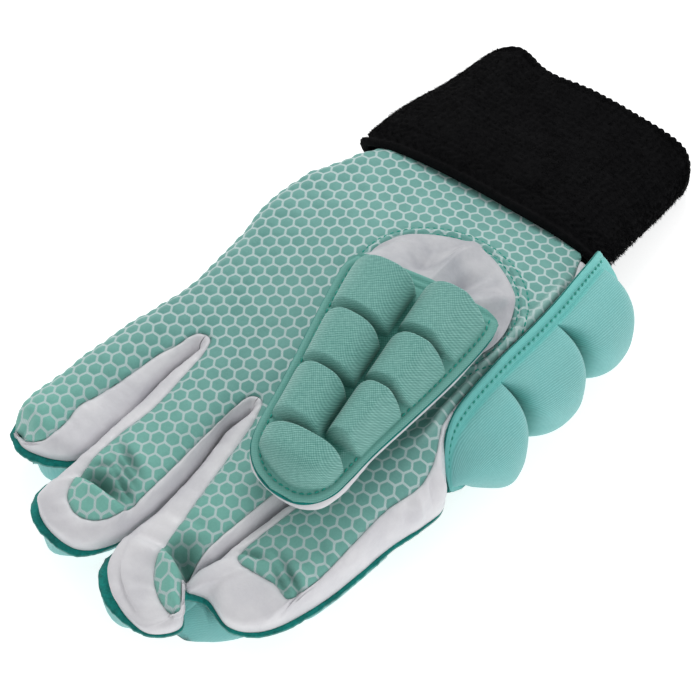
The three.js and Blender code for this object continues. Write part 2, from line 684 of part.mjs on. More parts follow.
function fingerPad(way, { lobes, lean, shift }) {
  const outline = backingOutline(way, foam.inset);
  const tip = outline.reduce((low, point) => (point.y < low.y ? point : low));
  const left = outline.slice(0, outline.indexOf(tip));
  const right = outline.slice(outline.indexOf(tip) + 1);
  const leftX = column(left.filter((point, i) => i === 0 || point.y < left[i - 1].y - 0.5), 'y', 'x');
  const rightX = column(right.filter((point, i) => i === 0 || point.y > right[i - 1].y + 0.5), 'y', 'x');
  const start = Math.min(outline[0].y, outline.at(-1).y) - 3;
  const spans = lobes.map(([near, far]) => [far, near]).reverse();
  const rows = lobeLines(tip.y + 0.6, spans, start, flattened);
  const acrossAt = (y, side) => {
    const closing = Math.min(1, Math.sqrt(Math.max(0.08, (y - tip.y) / 9)));
    const centre = (leftX(y) + rightX(y)) / 2;
    return mix(centre, side < 0 ? leftX(y) : rightX(y), Math.abs(side) * closing);
  };
  return hangingPad(rows, padColumns, acrossAt, spans, [[-0.9, 0.9]], lean, shift);
}

function handBackPad() {
  const rows = lobeLines(handEnd.low + 2, handPad.rows, handPad.rows.at(-1)[1] + 3, flattened);
  const [left, right] = [handPad.columns[0][0] - 2.5, handPad.columns.at(-1)[1] + 2.5];
  const columns = lobeLines(left, handPad.columns, right, flattened);
  return hangingPad(rows, columns, (y, x) => x, handPad.rows, handPad.columns);
}

function handBacking() {
  const left = evenPlaces(handEnd.high, handEnd.low, 11).map((y) => ({ x: ulnarEdge(y) - 0.5, y }));
  const crotches = Object.values(fingerWays).map((way) => ({ x: way.at(-1).edgeX, y: way.at(-1).edgeY }));
  const front = crotches.map(({ x, y }) => ({ x, y: y + 1.6 }));
  const right = evenPlaces(1, handEnd.high, 11).map((y) => ({ x: sideFoot(y) - 1.8, y }));
  return flatSheet([...left, ...front, ...right], backing.low, backing.high);
}

// Side pad's base: how far along the glove, and how far down from its top edge
const sideTopX = column(sideTop, 'y', 'x');
const sideTopZ = column(sideTop, 'y', 'z');
const sideOut = column(sideProfile, 'down', 'out');
const sideDrop = column(sideProfile, 'down', 'drop');
const sideEnd = sideProfile.at(-1);

function sidePoint(y, down, off) {
  const place = (at) => {
    const top = sideTopZ(y);
    const squeeze = THREE.MathUtils.smoothstep(y, sideTop[0].y - 3, 9);
    return new THREE.Vector2(
      sideTopX(y) + sideOut(at) * squeeze,
      top - (sideDrop(at) * (top - sidePad.foot)) / sideEnd.drop,
    );
  };
  const step = 0.5;
  const at = place(down);
  const after = place(Math.min(down + step, sideEnd.down));
  const tangent = after.sub(place(Math.max(down - step, 0))).normalize();
  const z = Math.max(foam.floor, at.y + tangent.x * off);
  return new THREE.Vector3(at.x - tangent.y * off, y, z);
}

function sideFoot(y) {
  return sidePoint(y, mix(0, sideEnd.down, 0.62), 0).x - sidePad.thick - sidePad.film;
}

const sideRows = lobeLines(sideTop[0].y, sidePad.lobes, sideTop.at(-1).y, crowned);
const sideColumns = [0, sidePad.margin, 9, 15, 23, 31, 37, sideEnd.down];

function sidePadSolid() {
  const reach = [sidePad.margin, sidePad.low];
  const grid = (high) => (i, j) => {
    const y = sideRows[Math.round(i * (sideRows.length - 1))];
    const down = sideColumns[Math.round(j * (sideColumns.length - 1))];
    const lobe = lobeShape(spanOf(y, sidePad.lobes), spanOf(down, [reach]));
    return sidePoint(y, down, high ? sidePad.lobeHeight * lobe : -sidePad.thick);
  };
  return gridSolid(sideRows.length - 1, sideColumns.length - 1, grid(true), grid(false));
}

function sideBacking() {
  const columns = 5;
  const places = sideRows.filter((y, i) => y < sidePad.lobes[0][1] || i % 2 === 0);
  const grid = (off) => (i, j) => {
    const y = places[Math.round(i * (places.length - 1))];
    return sidePoint(y, j * (sideEnd.down - 1), off);
  };
  const near = -sidePad.thick - 0.25;
  return gridSolid(places.length - 1, columns, grid(near), grid(near - sidePad.film));
}

// White strip between the palm's ridge and the hand's backing, inside the side pad
function radialGusset() {
  const places = evenPlaces(radialSide[0].y + 1, radialSide.at(-1).y - 5, 8);
  const wallX = column(radialSide, 'y', 'wall');
  const way = places.map((y) => ({ seamX: radialX(y), seamY: y, edgeX: wallX(y), edgeY: y }));
  return fingerWall(way);
}

function cuff() {
  const [centreAt, halfAt, lowAt, highAt] = ['centre', 'half', 'low', 'high']
    .map((name) => column(cuffRows, 'along', name));
  const near = column(cuffNear, 'x', 'y');
  const far = column(cuffFar, 'x', 'y');
  const place = (inward) => (along, turn) => {
    const angle = 2 * Math.PI * turn;
    const [centre, half, low, high] = [centreAt(along), halfAt(along), lowAt(along), highAt(along)];
    const tall = (high - low) / 2;
    const square = (value, power) => Math.sign(value) * Math.abs(value) ** power;
    const x = centre + (half - inward) * square(Math.cos(angle), cuffSquare.wide);
    const z = (low + high) / 2 + (tall - inward) * square(Math.sin(angle), cuffSquare.tall);
    const beyond = Math.max(0, Math.abs(x - centre) - (half - cuffCorner)) / cuffCorner;
    const corner = cuffCorner * (1 - Math.sqrt(Math.max(0, 1 - Math.min(beyond, 1) ** 2)));
    return new THREE.Vector3(x, mix(near(x), far(x) - corner, along), z);
  };
  return gridSolid(cuffFaces.along, cuffFaces.round, place(0), place(knit), true);
}

// Thumb: a point of its own frame, set in the plan
const thumbAhead = Math.sqrt(1 - thumb.lean ** 2 - thumb.slope ** 2);
const thumbReach = new THREE.Vector3(thumb.lean, -thumbAhead, thumb.slope);
const thumbLevel = new THREE.Vector3().crossVectors(new THREE.Vector3(0, 0, 1), thumbReach).normalize();
const thumbSide = thumbLevel.clone().applyAxisAngle(thumbReach, -THREE.MathUtils.degToRad(thumb.roll));
const thumbUp = new THREE.Vector3().crossVectors(thumbReach, thumbSide).normalize();
const thumbLeft = column(thumbOutline, 'reach', 'left');
const thumbRight = column(thumbOutline, 'reach', 'right');

function thumbPoint(reach, side, up) {
  const point = thumb.foot.clone().addScaledVector(thumbReach, reach);
  return point.addScaledVector(thumbSide, side).addScaledVector(thumbUp, up);
}

function thumbPad() {
  const lines = thumbLobes.flatMap(({ along: [from, to] }) => lobeLines(from, [[from, to]], to, crowned));
  const ends = [thumbOutline[0].reach, thumbOutline.at(-1).reach];
  const sorted = [...ends, ...lines].sort((a, b) => a - b);
  const rows = sorted.filter((reach, i) => i === 0 || reach - sorted[i - 1] > 0.5);
  const height = (reach, place) => {
    const rise = ({ along, across }) => lobeShape(spanOf(reach, [along]), spanOf(place, [across]));
    return thumb.lobeHeight * Math.max(...thumbLobes.map(rise));
  };
  const grid = (high) => (i, j) => {
    const reach = rows[Math.round(i * (rows.length - 1))];
    const place = thumbColumns[Math.round(j * (thumbColumns.length - 1))];
    const side = place < 0 ? place * thumbLeft(reach) : place * thumbRight(reach);
    return thumbPoint(reach, side, high ? height(reach, place) : -thumb.pad);
  };
  return gridSolid(rows.length - 1, thumbColumns.length - 1, grid(true), grid(false));
}

function thumbBacking() {
  const places = evenPlaces(thumbOutline[0].reach, thumbOutline.at(-1).reach, 8);
  const grid = (up) => (i, j) => {
    const reach = places[Math.round(i * (places.length - 1))];
    return thumbPoint(reach, mix(-thumbLeft(reach), thumbRight(reach), j), up);
  };
  const top = -thumb.pad - 0.3;
  return gridSolid(places.length - 1, 2, grid(top), grid(top - thumb.film));
}

// Way round the thumb's white wall: left side, tip and right side, set in from the pad's outline
function thumbWay(inset) {
  const rows = thumbOutline.filter(({ reach }) => reach > thumbShell.start);
  const { start } = thumbShell;
  const sides = [{ reach: start, left: thumbLeft(start), right: thumbRight(start) }, ...rows.slice(0, -1)];
  const left = sides.map(({ reach, left: half }) => ({ reach, side: inset - half }));
  const right = sides.map(({ reach, right: half }) => ({ reach, side: half - inset })).reverse();
  const tip = { reach: rows.at(-1).reach - inset * 0.9, side: -1.5 };
  const way = [...left, tip, ...right];
  return alongRows(way.map(({ reach, side }) => ({ reach: Math.min(reach, tip.reach), side })), 2);
}

function thumbGusset() {
  const way = thumbWay(thumbShell.inset);
  const high = -thumb.pad - 0.6 - thumb.film;
  const grid = [];
  const faces = [];
  for (const { reach, side } of way) {
    grid.push(thumbPoint(reach, side, high), thumbPoint(reach, side, -thumbShell.seam));
  }
  for (let i = 0; i + 1 < way.length; i += 1) {
    const a = 2 * i;
    faces.push([a, a + 1, a + 3], [a, a + 3, a + 2]);
  }
  return thicken(grid, faces, cloth);
}

// Printed front of the thumb, a shallow trough that faces the palm
function thumbFront() {
  const rows = evenPlaces(thumbShell.start, thumbShell.end, 6.5);
  const columns = [-1, -0.9, -0.75, -0.5, 0, 0.5, 0.75, 0.9, 1];
  const points = [];
  const faces = [];
  for (const reach of rows) {
    const beyond = Math.max(0, (reach - thumbShell.closes) / (thumbShell.end - thumbShell.closes));
    const closing = Math.sqrt(Math.max(0.02, 1 - beyond ** 2));
    for (const place of columns) {
      const half = (place < 0 ? thumbLeft(reach) : thumbRight(reach)) - thumbShell.inset;
      const bowl = (1 - Math.abs(place) ** 4) ** 0.5 * closing;
      points.push(thumbPoint(reach, place * half, mix(-thumbShell.seam - gap, -thumbShell.depth, bowl)));
    }
  }
  for (let i = 0; i + 1 < rows.length; i += 1) {
    for (let j = 0; j + 1 < columns.length; j += 1) {
      const a = i * columns.length + j;
      const b = a + columns.length;
      faces.push([a, a + 1, b + 1], [a, b + 1, b]);
    }
  }
  const ways = { 0: thumbSide.clone().negate(), [columns.length - 1]: thumbSide };
  const rimWay = (i) => ways[i % columns.length];
  return thicken(points, faces, cloth, rimWay);
}

// White cloth all round the palm's hole, up to the foot of the thumb's pad and the mouth of its front
function thumbRoot() {
  const steps = 2;
  const rise = 3;
  const closing = { ...thumbRootRows[0], angle: thumbRootRows[0].angle - 360 };
  const ring = alongRows([...thumbRootRows, closing], steps);
  const around = ring.length - 1;
  const points = [];
  const faces = [];
  for (const { angle, reach, side, up, puff } of ring.slice(0, around)) {
    const turn = THREE.MathUtils.degToRad(angle);
    const { x, y } = holePoint(turn, 2.8 * gap);
    const low = new THREE.Vector3(x, y, palmHeight(x, y) - cloth / 2);
    const out = new THREE.Vector3(Math.cos(turn), Math.sin(turn), 0.9);
    for (let k = 0; k <= rise; k += 1) {
      const bulge = puff * Math.sin((Math.PI * k) / rise);
      points.push(low.clone().lerp(thumbPoint(reach, side, up), k / rise).addScaledVector(out, bulge));
    }
  }
  for (let i = 0; i < around; i += 1) {
    for (let k = 0; k < rise; k += 1) {
      const a = i * (rise + 1) + k;
      const b = ((i + 1) % around) * (rise + 1) + k;
      faces.push([a, a + 1, b + 1], [a, b + 1, b]);
    }
  }
  return thicken(points, faces, cloth);
}

const model = new THREE.Group();
const parts = new THREE.Group();
model.add(parts);
parts.position.set(-middle.x, -middle.y, 0);

function add(name, geometry, finish) {
  const { color, roughness } = finishes[finish];
  const material = new THREE.MeshStandardMaterial({ color, roughness, metalness: 0 });
  const mesh = new THREE.Mesh(geometry, material);
  mesh.name = name;
  geometry.computeVertexNormals();
  parts.add(mesh);
}

add('palm_panel', palmPanel(), 'hexPrint');
add('radial_gusset', radialGusset(), 'gusset');
for (const [name, way] of Object.entries(fingerWays)) {
  add(`${name}_gusset`, fingerWall(way), 'gusset');
  const back = backWay(name, way);
  add(`${name}_backing`, flatSheet(backingOutline(back, gap / 3), backing.low, backing.high), 'tealFelt');
  add(`${name}_pad`, fingerPad(back, fingerPads[name]), 'foamKnit');
}
add('hand_backing', handBacking(), 'tealFelt');
add('hand_pad', handBackPad(), 'foamKnit');
add('side_pad', sidePadSolid(), 'foamKnit');
add('side_backing', sideBacking(), 'tealFelt');
add('thumb_pad', thumbPad(), 'foamKnit');
add('thumb_backing', thumbBacking(), 'tealFelt');
add('thumb_gusset', thumbGusset(), 'gusset');
add('thumb_front', thumbFront(), 'hexPrint');
add('thumb_root', thumbRoot(), 'gusset');
add('cuff', cuff(), 'cuffKnit');

export default model;
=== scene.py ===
import bpy
import math
import numpy as np
from mathutils import Matrix, Vector, noise
from mathutils.geometry import delaunay_2d_cdt
from mathutils.kdtree import KDTree


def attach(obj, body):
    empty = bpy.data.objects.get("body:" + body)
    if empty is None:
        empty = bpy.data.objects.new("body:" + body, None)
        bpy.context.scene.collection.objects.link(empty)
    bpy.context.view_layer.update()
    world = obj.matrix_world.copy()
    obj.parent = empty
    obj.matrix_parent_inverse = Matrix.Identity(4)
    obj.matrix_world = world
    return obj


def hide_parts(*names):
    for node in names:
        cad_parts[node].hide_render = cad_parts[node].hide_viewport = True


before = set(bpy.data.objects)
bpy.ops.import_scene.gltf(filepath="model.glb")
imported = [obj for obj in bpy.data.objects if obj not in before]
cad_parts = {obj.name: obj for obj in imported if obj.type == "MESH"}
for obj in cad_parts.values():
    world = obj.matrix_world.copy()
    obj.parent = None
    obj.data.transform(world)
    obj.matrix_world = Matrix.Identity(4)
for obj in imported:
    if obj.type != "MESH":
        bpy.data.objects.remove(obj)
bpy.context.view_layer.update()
print("frame loaded:", len(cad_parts), "nodes")

# The glove lies palm up, +Y from fingertips to wrist, +X to the thumb. Shapes are worked out in millimetres
# on the plan that part.mjs uses, and moved to the row frame when a mesh is made.
planMiddle = np.array([-6.7, 17.8, 0.0])


def readTable(columns, rows):
    return [dict(zip(columns, row)) for row in rows]


def mix(a, b, t):
    return a + (b - a) * t


def smoothstep(value, low, high):
    t = np.clip((np.asarray(value, float) - low) / (high - low), 0, 1)
    return t * t * (3 - 2 * t)


def tableSlopes(at, value):  # a table's slope at each of its rows, for one column or several
    last = len(at) - 1
    before = np.maximum(np.arange(last + 1) - 1, 0)
    after = np.minimum(np.arange(last + 1) + 1, last)
    return ((value[after] - value[before]).T / (at[after] - at[before])).T


def ease(low, high, slopeLow, slopeHigh, width, s):  # smooth rise between two rows with a slope at each
    rise = low + (high - low) * s * s * (3 - 2 * s)
    return rise + width * s * (1 - s) * (slopeLow * (1 - s) - slopeHigh * s)


def findPlaces(at, place):  # for each place the row before it, the rows' distance and the share of the way
    i = np.clip(np.searchsorted(at, place, side="left") - 1, 0, len(at) - 2)
    width = at[i + 1] - at[i]
    return i, width, np.clip((place - at[i]) / width, 0, 1)


def smoothColumn(rows, along, name):  # smooth column of a table, read at any places along it
    ordered = sorted(rows, key=lambda row: row[along])
    at = np.array([row[along] for row in ordered], float)
    value = np.array([row[name] for row in ordered], float)
    slope = tableSlopes(at, value)

    def read(place):
        i, width, s = findPlaces(at, np.asarray(place, float))
        return ease(value[i], value[i + 1], slope[i], slope[i + 1], width, s)
    return read


def alongRows(rows, steps):  # smooth path through table rows: an array for each column
    numbered = [dict(row, index=i) for i, row in enumerate(rows)]
    places = np.arange((len(rows) - 1) * steps + 1) / steps
    return {name: smoothColumn(numbered, "index", name)(places) for name in rows[0]}


def evenPlaces(start, end, step):
    return np.linspace(start, end, max(1, round(abs(end - start) / step)) + 1)


def noiseAt(points, size, seed=0.0):  # smooth noise from -1 to 1 whose lumps are about that size
    return np.array([noise.noise(Vector((x / size + seed, y / size, z / size))) for x, y, z in points])


def crowded(count):  # places from -1 to 1, closer together towards both ends
    return np.sin(np.linspace(-math.pi / 2, math.pi / 2, count))


def unit(vectors):
    return vectors / np.maximum(np.linalg.norm(vectors, axis=1), 1e-6)[:, None]


def flatPoints(x, y):
    return np.column_stack([x, y, np.zeros(len(x))])


def arcLength(points):  # distance covered at each point of a path
    return np.concatenate([[0], np.cumsum(np.linalg.norm(np.diff(points, axis=0), axis=1))])


def gridPlaces(rows, columns):  # the row's and the column's value at each point of a grid
    return np.meshgrid(rows, columns, indexing="ij")


def gridFaces(rows, columns, closed=False, start=0, flip=False):  # quads between rows by columns points
    faces = []
    for i in range(rows - 1):
        for j in range(columns if closed else columns - 1):
            a = start + i * columns + j
            b = start + i * columns + (j + 1) % columns
            faces.append((a, b, b + columns, a + columns))
    return [face[::-1] for face in faces] if flip else faces


def gridRim(rows, columns):  # the points round the border of a grid, in order
    rim = list(range(columns)) + [i * columns + columns - 1 for i in range(1, rows)]
    rim += [(rows - 1) * columns + j for j in range(columns - 2, -1, -1)]
    return rim + [i * columns for i in range(rows - 2, 0, -1)]


def skirtFaces(rim, start):  # quads from a rim to the same loop of points lower down, numbered from start
    following = rim[1:] + rim[:1]
    count = len(rim)
    return [(a, b, start + (i + 1) % count, start + i) for i, (a, b) in enumerate(zip(rim, following))]


def makePiece(name, points, faces, material, node="", attributes=None, thickness=0, smooth=True):
    mesh = bpy.data.meshes.new(name)
    places = (np.asarray(points, float) - planMiddle) * 0.001
    mesh.from_pydata(places.tolist(), [], [list(map(int, face)) for face in faces])
    mesh.update()
    for key, values in (attributes or {}).items():
        layer = mesh.attributes.new(key, "FLOAT_VECTOR", "POINT")
        layer.data.foreach_set("vector", np.asarray(values, np.float32).ravel())
    if smooth:
        mesh.polygons.foreach_set("use_smooth", [True] * len(mesh.polygons))
    mesh.materials.append(material)
    piece = bpy.data.objects.new(name, mesh)
    bpy.context.scene.collection.objects.link(piece)
    if thickness:
        solid = piece.modifiers.new("cloth", "SOLIDIFY")
        solid.thickness = thickness * 0.001
        solid.offset = -1
    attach(piece, "root")
    if node:
        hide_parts(node)
    return piece


def isInside(outline, x, y):
    inside = np.zeros(len(x), bool)
    for i in range(len(outline)):
        ax, ay = outline[i][:2]
        bx, by = outline[(i + 1) % len(outline)][:2]
        crosses = (ay > y) != (by > y)
        if by != ay:
            inside ^= crosses & (x < ax + (bx - ax) * (y - ay) / (by - ay))
    return inside


def nearestOn(outline, x, y, closed=True):  # distance to an outline, and its value there (third column)
    start = outline if closed else outline[:-1]
    end = np.roll(outline, -1, axis=0) if closed else outline[1:]
    dx, dy = (end - start)[:, :2].T
    square = np.maximum(dx * dx + dy * dy, 1e-9)
    distance = np.full(len(x), 1e9)
    value = np.zeros(len(x))
    for low in range(0, len(x), 1500):  # in batches, to keep memory small
        px = x[low:low + 1500, None]
        py = y[low:low + 1500, None]
        s = np.clip(((px - start[:, 0]) * dx + (py - start[:, 1]) * dy) / square, 0, 1)
        away = np.hypot(px - start[:, 0] - s * dx, py - start[:, 1] - s * dy)
        best = away.argmin(1)
        rows = np.arange(len(best))
        distance[low:low + 1500] = away[rows, best]
        value[low:low + 1500] = mix(start[best, 2], end[best, 2], s[rows, best])
    return distance, value


# Shapes shared by the pieces
gap = 0.35
backing = {"high": 14.8}
foam = {"top": 13.3, "margin": 2, "inset": 0.6, "pressed": 1.16}  # pressed: over 1, the lobes are flat below
wall = {"foot": backing["high"] + gap, "round": 0.7, "belly": 0.62}

palmAcross = np.array([-60.0, -15, 15, 40])
palmHeights = readTable(["y", "ulnar", "heel", "thumb", "radial"], [
    [-115, 26.5, 28, 27, 27],
    [-90, 27.5, 29.5, 29, 29],
    [-60, 28, 31, 31, 30.5],
    [-35, 28.5, 32.5, 32, 32.5],
    [-10, 28.5, 34.5, 34.5, 35.5],
    [15, 28, 36, 37, 37.5],
    [40, 27.5, 37, 41, 37.5],
    [58, 26.5, 34, 38, 35],
    [75, 24.5, 28.5, 30, 30],
    [84, 21.5, 24.5, 25.6, 25.8],
    [95, 19.5, 21.5, 21.5, 20.5],
])
folds = readTable(["x", "y", "heading", "along", "across", "steep", "depth", "lip"], [
    [-33, -88.0, 2, 10, 4.2, 1.0, 6.8, 2.2],
    [-26.5, -83.2, -16, 6, 1.5, 0.9, 3.4, 1.0],
    [-29, -79.2, -15, 7, 1.5, 1.0, 2.6, 0.7],
    [-31.5, -75, -20, 7, 1.7, 1.2, 3.0, 0.6],
    [-37, -81.5, 22, 4.2, 1.3, 0.9, 1.8, 0.4],
    [4.0, -91.2, -16, 6.2, 7.0, 1.2, 7.6, 2.6],
    [9, -91.8, -42, 5.5, 4.6, 1.2, 4.2, 1.4],
    [1, -78, 12, 7, 2.2, 2.0, 1.2, 0],
    [37.5, -71.8, 157, 7, 1.6, 0.9, 3.0, 0.9],
    [36, -75.2, 160, 5, 1.2, 0.8, 2.2, 0.5],
    [22.6, -74.6, 18, 4.5, 1.6, 0.8, 2.6, 0.9],
    [30, -68, 12, 8, 1.7, 1.7, 1.2, 0],
    [38, -58, -35, 6, 1.6, 1.6, 1.3, 0],
    [34, 12, 82, 30, 4, 4, 5, 0],
    [-56, -60, 75, 14, 3, 3, 0.8, 0],
])
wayRound = ["seamX", "seamY", "edgeX", "edgeY", "drop", "flange"]
fingers = {
    "pinky": readTable(wayRound, [
        [-70.8, -86.9, -73.4, -87.6, 6, 1.8],
        [-66.5, -88.3, -68, -89.4, 7, 2.2],
        [-61.8, -86.2, -62.3, -88.4, 5, 2.4],
        [-60, -82, -55.6, -85.4, 3.5, 2.2],
        [-59.6, -76, -50.4, -80.5, 3, 1.4],
        [-60.4, -69, -48.6, -70, 2.5, 0],
        [-58.2, -61, -48.1, -60, 2.5, 0],
        [-55.6, -50, -47.9, -49, 2.5, 0],
        [-53.2, -38, -47.9, -38, 2, 0],
        [-50.5, -31, -46.8, -31.5, 1.5, 0],
        [-49.3, -26.2, -45.6, -28.4, 1, 0],
        [-47.6, -23.2, -45, -27, 0.8, 0],
        [-45.1, -22.1, -44.9, -26.6, 0.6, 0],
    ]),
    "ring": readTable(wayRound, [
        [-44.7, -22.1, -44.6, -26.6, 0.6, 0],
        [-42.4, -23, -44.5, -27, 0.8, 0],
        [-41.1, -26.4, -44.6, -28.4, 1, 0],
        [-40.6, -31, -46, -32, 1.5, 0],
        [-40.3, -40, -47.2, -40, 2, 0],
        [-39.9, -54, -47.3, -54, 2.5, 0],
        [-41.8, -68, -47.6, -68, 2.5, 0],
        [-42.3, -80, -48, -81, 2.5, 0.2],
        [-42, -89, -49.8, -93, 3, 2.2],
        [-39.8, -96.5, -47.8, -102.6, 3.5, 3],
        [-33, -99.6, -38.5, -106.8, 4, 2.4],
        [-26, -97.4, -27, -105.8, 3.5, 2],
        [-21, -90, -19.8, -97.5, 3, 0.2],
        [-19.7, -79, -16.2, -82.5, 2.5, 0],
        [-19.3, -66, -15.5, -66, 2.5, 0],
        [-19.3, -52, -17, -51, 2.5, 0],
        [-18.8, -42, -17.6, -42, 2, 0],
        [-17.9, -34.6, -15.3, -36.6, 1, 0],
        [-16.6, -31.2, -14.6, -34.4, 0.8, 0],
        [-14.4, -30, -14.2, -34, 0.6, 0],
    ]),
    "middle": readTable(wayRound, [
        [-14, -30, -13.9, -34, 0.6, 0],
        [-11.9, -31, -13.9, -34.4, 0.8, 0],
        [-10.3, -34.6, -14.6, -36.6, 1, 0],
        [-8.8, -41, -16.8, -43, 1.5, 0],
        [-7.2, -54, -16.1, -52, 2.5, 0],
        [-5.2, -68, -14.7, -66, 2.5, 0],
        [-3.4, -81, -14.8, -82, 3, 0],
        [-2.2, -91, -16.8, -94, 3.5, 0],
        [1, -98.6, -14.2, -104.2, 4.5, 3.4],
        [6.4, -103.2, -6, -110.8, 6, 3.6],
        [12.8, -105.2, 4, -113.9, 7, 1.6],
        [17.0, -103.4, 12.6, -113, 6.5, 0.5],
        [13.6, -99.2, 18.2, -105, 5.5, 0.6],
        [9.6, -94, 12.4, -97, 4.5, 0],
        [9, -87, 10.4, -90, 3, 0],
        [9.8, -78, 12.3, -80, 2.5, 0],
        [11.2, -66, 14.6, -67, 2.5, 0],
        [13.2, -52, 17, -52, 2, 0],
        [16, -43, 18.6, -44, 1.5, 0],
        [18.2, -37, 19.9, -39.4, 1, 0],
        [20.8, -34, 20.6, -36.2, 1, 0],
    ]),
    "index": readTable(wayRound, [
        [22.3, -33.9, 21.9, -36.2, 1, 0],
        [23.8, -37.4, 20.7, -39.4, 1, 0],
        [23.4, -46, 18.6, -47.5, 1.5, 0],
        [21.4, -58, 16.4, -58.5, 2, 0],
        [19.6, -69, 14.4, -72, 2.5, 0],
        [18.8, -76.5, 13.6, -84, 3, 0],
        [20.8, -78.8, 12.4, -94.8, 3.5, 0.6],
        [26, -78.2, 18.4, -91.9, 4, 1.1],
        [34.3, -76.9, 29.5, -94.6, 4, 1.0],
        [41, -78.2, 37.8, -90.2, 3.5, 1.3],
        [43.8, -72.6, 43.2, -81, 3, 1.6],
        [44.8, -63, 47.2, -66, 2.5, 1.4],
        [44.9, -50, 49, -52, 2.5, 1.2],
        [45.4, -34, 50.4, -37, 2.5, 1],
        [48.4, -21.5, 53.2, -24.6, 2.5, 0.6],
        [46.6, -11.5, 53.8, -14.4, 2, 0],
        [41.6, -2.4, 45, -3.4, 1.5, 0],
    ]),
}
ulnarSide = readTable(["y", "turn", "edge"], [
    [-86.8, -70.9, -74.6],
    [-79, -66.8, -77],
    [-66, -64, -75.8],
    [-54, -63, -74.4],
    [-38, -61.5, -71.8],
    [-22, -58.5, -68.4],
    [-8, -56, -65.4],
    [4, -56, -65.6],
    [20, -57, -66.6],
    [36, -58, -69],
    [50, -57, -67.5],
    [62, -53.5, -62.8],
    [73, -51, -58.4],
    [80, -48, -54],
    [84, -46, -50.4],
])
radialSide = readTable(["y", "x", "wall"], [
    [-2, 41.4, 44.6],
    [5, 39.6, 42.2],
    [16, 38.8, 41.6],
    [31, 38.8, 41.6],
    [47, 39.2, 41.8],
    [62, 38.4, 41.4],
    [75, 35, 39.6],
    [85, 30.2, 37.2],
    [88, 29, 36.6],
])
# the last two values: the ridge's print is drawn paler along its top, partly rubbed print and partly painted
# light against the thumb's shadow
ridge = {"inset": 2.6, "height": 3.6, "spread": 1.9, "starts": -16, "full": 4, "fades": 62, "ends": 80,
         "rubbedAndLit": 0.38, "rubbedAndLitSpread": 1.5}
panelTop = readTable(["x", "y"], [[-46, 84], [-26, 90], [4, 93.4], [19, 92.8], [26, 90.4], [29, 88]])
thumbHole = {"x": 7.2, "y": 36.5, "halfX": 26.6, "halfY": 24}
rollWidth = 9

ulnarTurn = smoothColumn(ulnarSide, "y", "turn")
ulnarEdge = smoothColumn(ulnarSide, "y", "edge")
radialX = smoothColumn(radialSide, "y", "x")
fingerWays = {name: alongRows(rows, 10) for name, rows in fingers.items()}

ulnarPlaces = evenPlaces(84, -86.8, 1.0)
tipDrop = 6 * (1 - smoothstep(ulnarPlaces, -87, -81.5))
ulnarLine = np.column_stack([ulnarTurn(ulnarPlaces), ulnarPlaces, tipDrop])
fingerLine = np.concatenate([np.column_stack([way[key] for key in ("seamX", "seamY", "drop")])
                             for way in fingerWays.values()])
radialPlaces = evenPlaces(-2, 88, 1.0)[1:]
radialLine = np.column_stack([radialX(radialPlaces), radialPlaces, np.full(len(radialPlaces), 0.5)])
topPath = alongRows(panelTop[::-1], 16)
topLine = flatPoints(topPath["x"], topPath["y"])[1:-1]
panelOutline = np.concatenate([ulnarLine, fingerLine[1:], radialLine, topLine])
sewnOutline = np.concatenate([fingerLine, radialLine])
innerOutline = np.concatenate([fingerLine, radialLine, topLine])


def holePath(grow, count=160, turn=None):  # oval round the thumb's hole, grown outwards
    turn = np.linspace(0, 2 * np.pi, count, endpoint=False) if turn is None else turn
    x = thumbHole["x"] + (thumbHole["halfX"] + grow) * np.cos(turn)
    y = thumbHole["y"] + (thumbHole["halfY"] + grow) * np.sin(turn)
    return np.column_stack([x, y, turn])


holeLine = holePath(0)
heightColumns = [smoothColumn(palmHeights, "y", name) for name in ["ulnar", "heel", "thumb", "radial"]]

palmCloth = {
    "step": 0.95,           # spacing of the mesh
    "wallRows": 44,         # rows of the wall round the little finger's side
    "thickness": 1.0,
    "cellHigh": 0.34,       # how proud the printed cells stand along the little finger's side
    "lumps": 0.75,          # unevenness of that side
    "seamRound": 0.45,      # how the folded edge rolls down into a seam
    "pucker": 0.42,         # small gathers beside the seams
    "swell": 0.45,          # slow unevenness of the whole palm
    "weltIn": 2.0,          # the two stitch rows round the thumb's hole
    "weltOut": 5.2,
    "weltHigh": 0.9,
    "stitchDent": 0.6,
}


def foldPlace(fold, x, y):  # how far along a fold and how far to its side a place lies
    turn = math.radians(fold["heading"])
    along = (x - fold["x"]) * math.cos(turn) + (y - fold["y"]) * math.sin(turn)
    side = (y - fold["y"]) * math.cos(turn) - (x - fold["x"]) * math.sin(turn)
    return along, side


def ridgeRise(x, y, spread):  # 1 on top of the folded ridge on the thumb side
    rises = smoothstep(y, ridge["starts"], ridge["full"]) - smoothstep(y, ridge["fades"], ridge["ends"])
    return rises * np.exp(-((radialX(y) - x - ridge["inset"]) / spread) ** 2)


def palmTable(x, y):  # height of the table of the palm's four columns
    value = np.array([read(y) for read in heightColumns])
    slope = tableSlopes(palmAcross, value)
    i, width, s = findPlaces(palmAcross, x)
    n = np.arange(len(x))
    return ease(value[i, n], value[i + 1, n], slope[i, n], slope[i + 1, n], width, s)


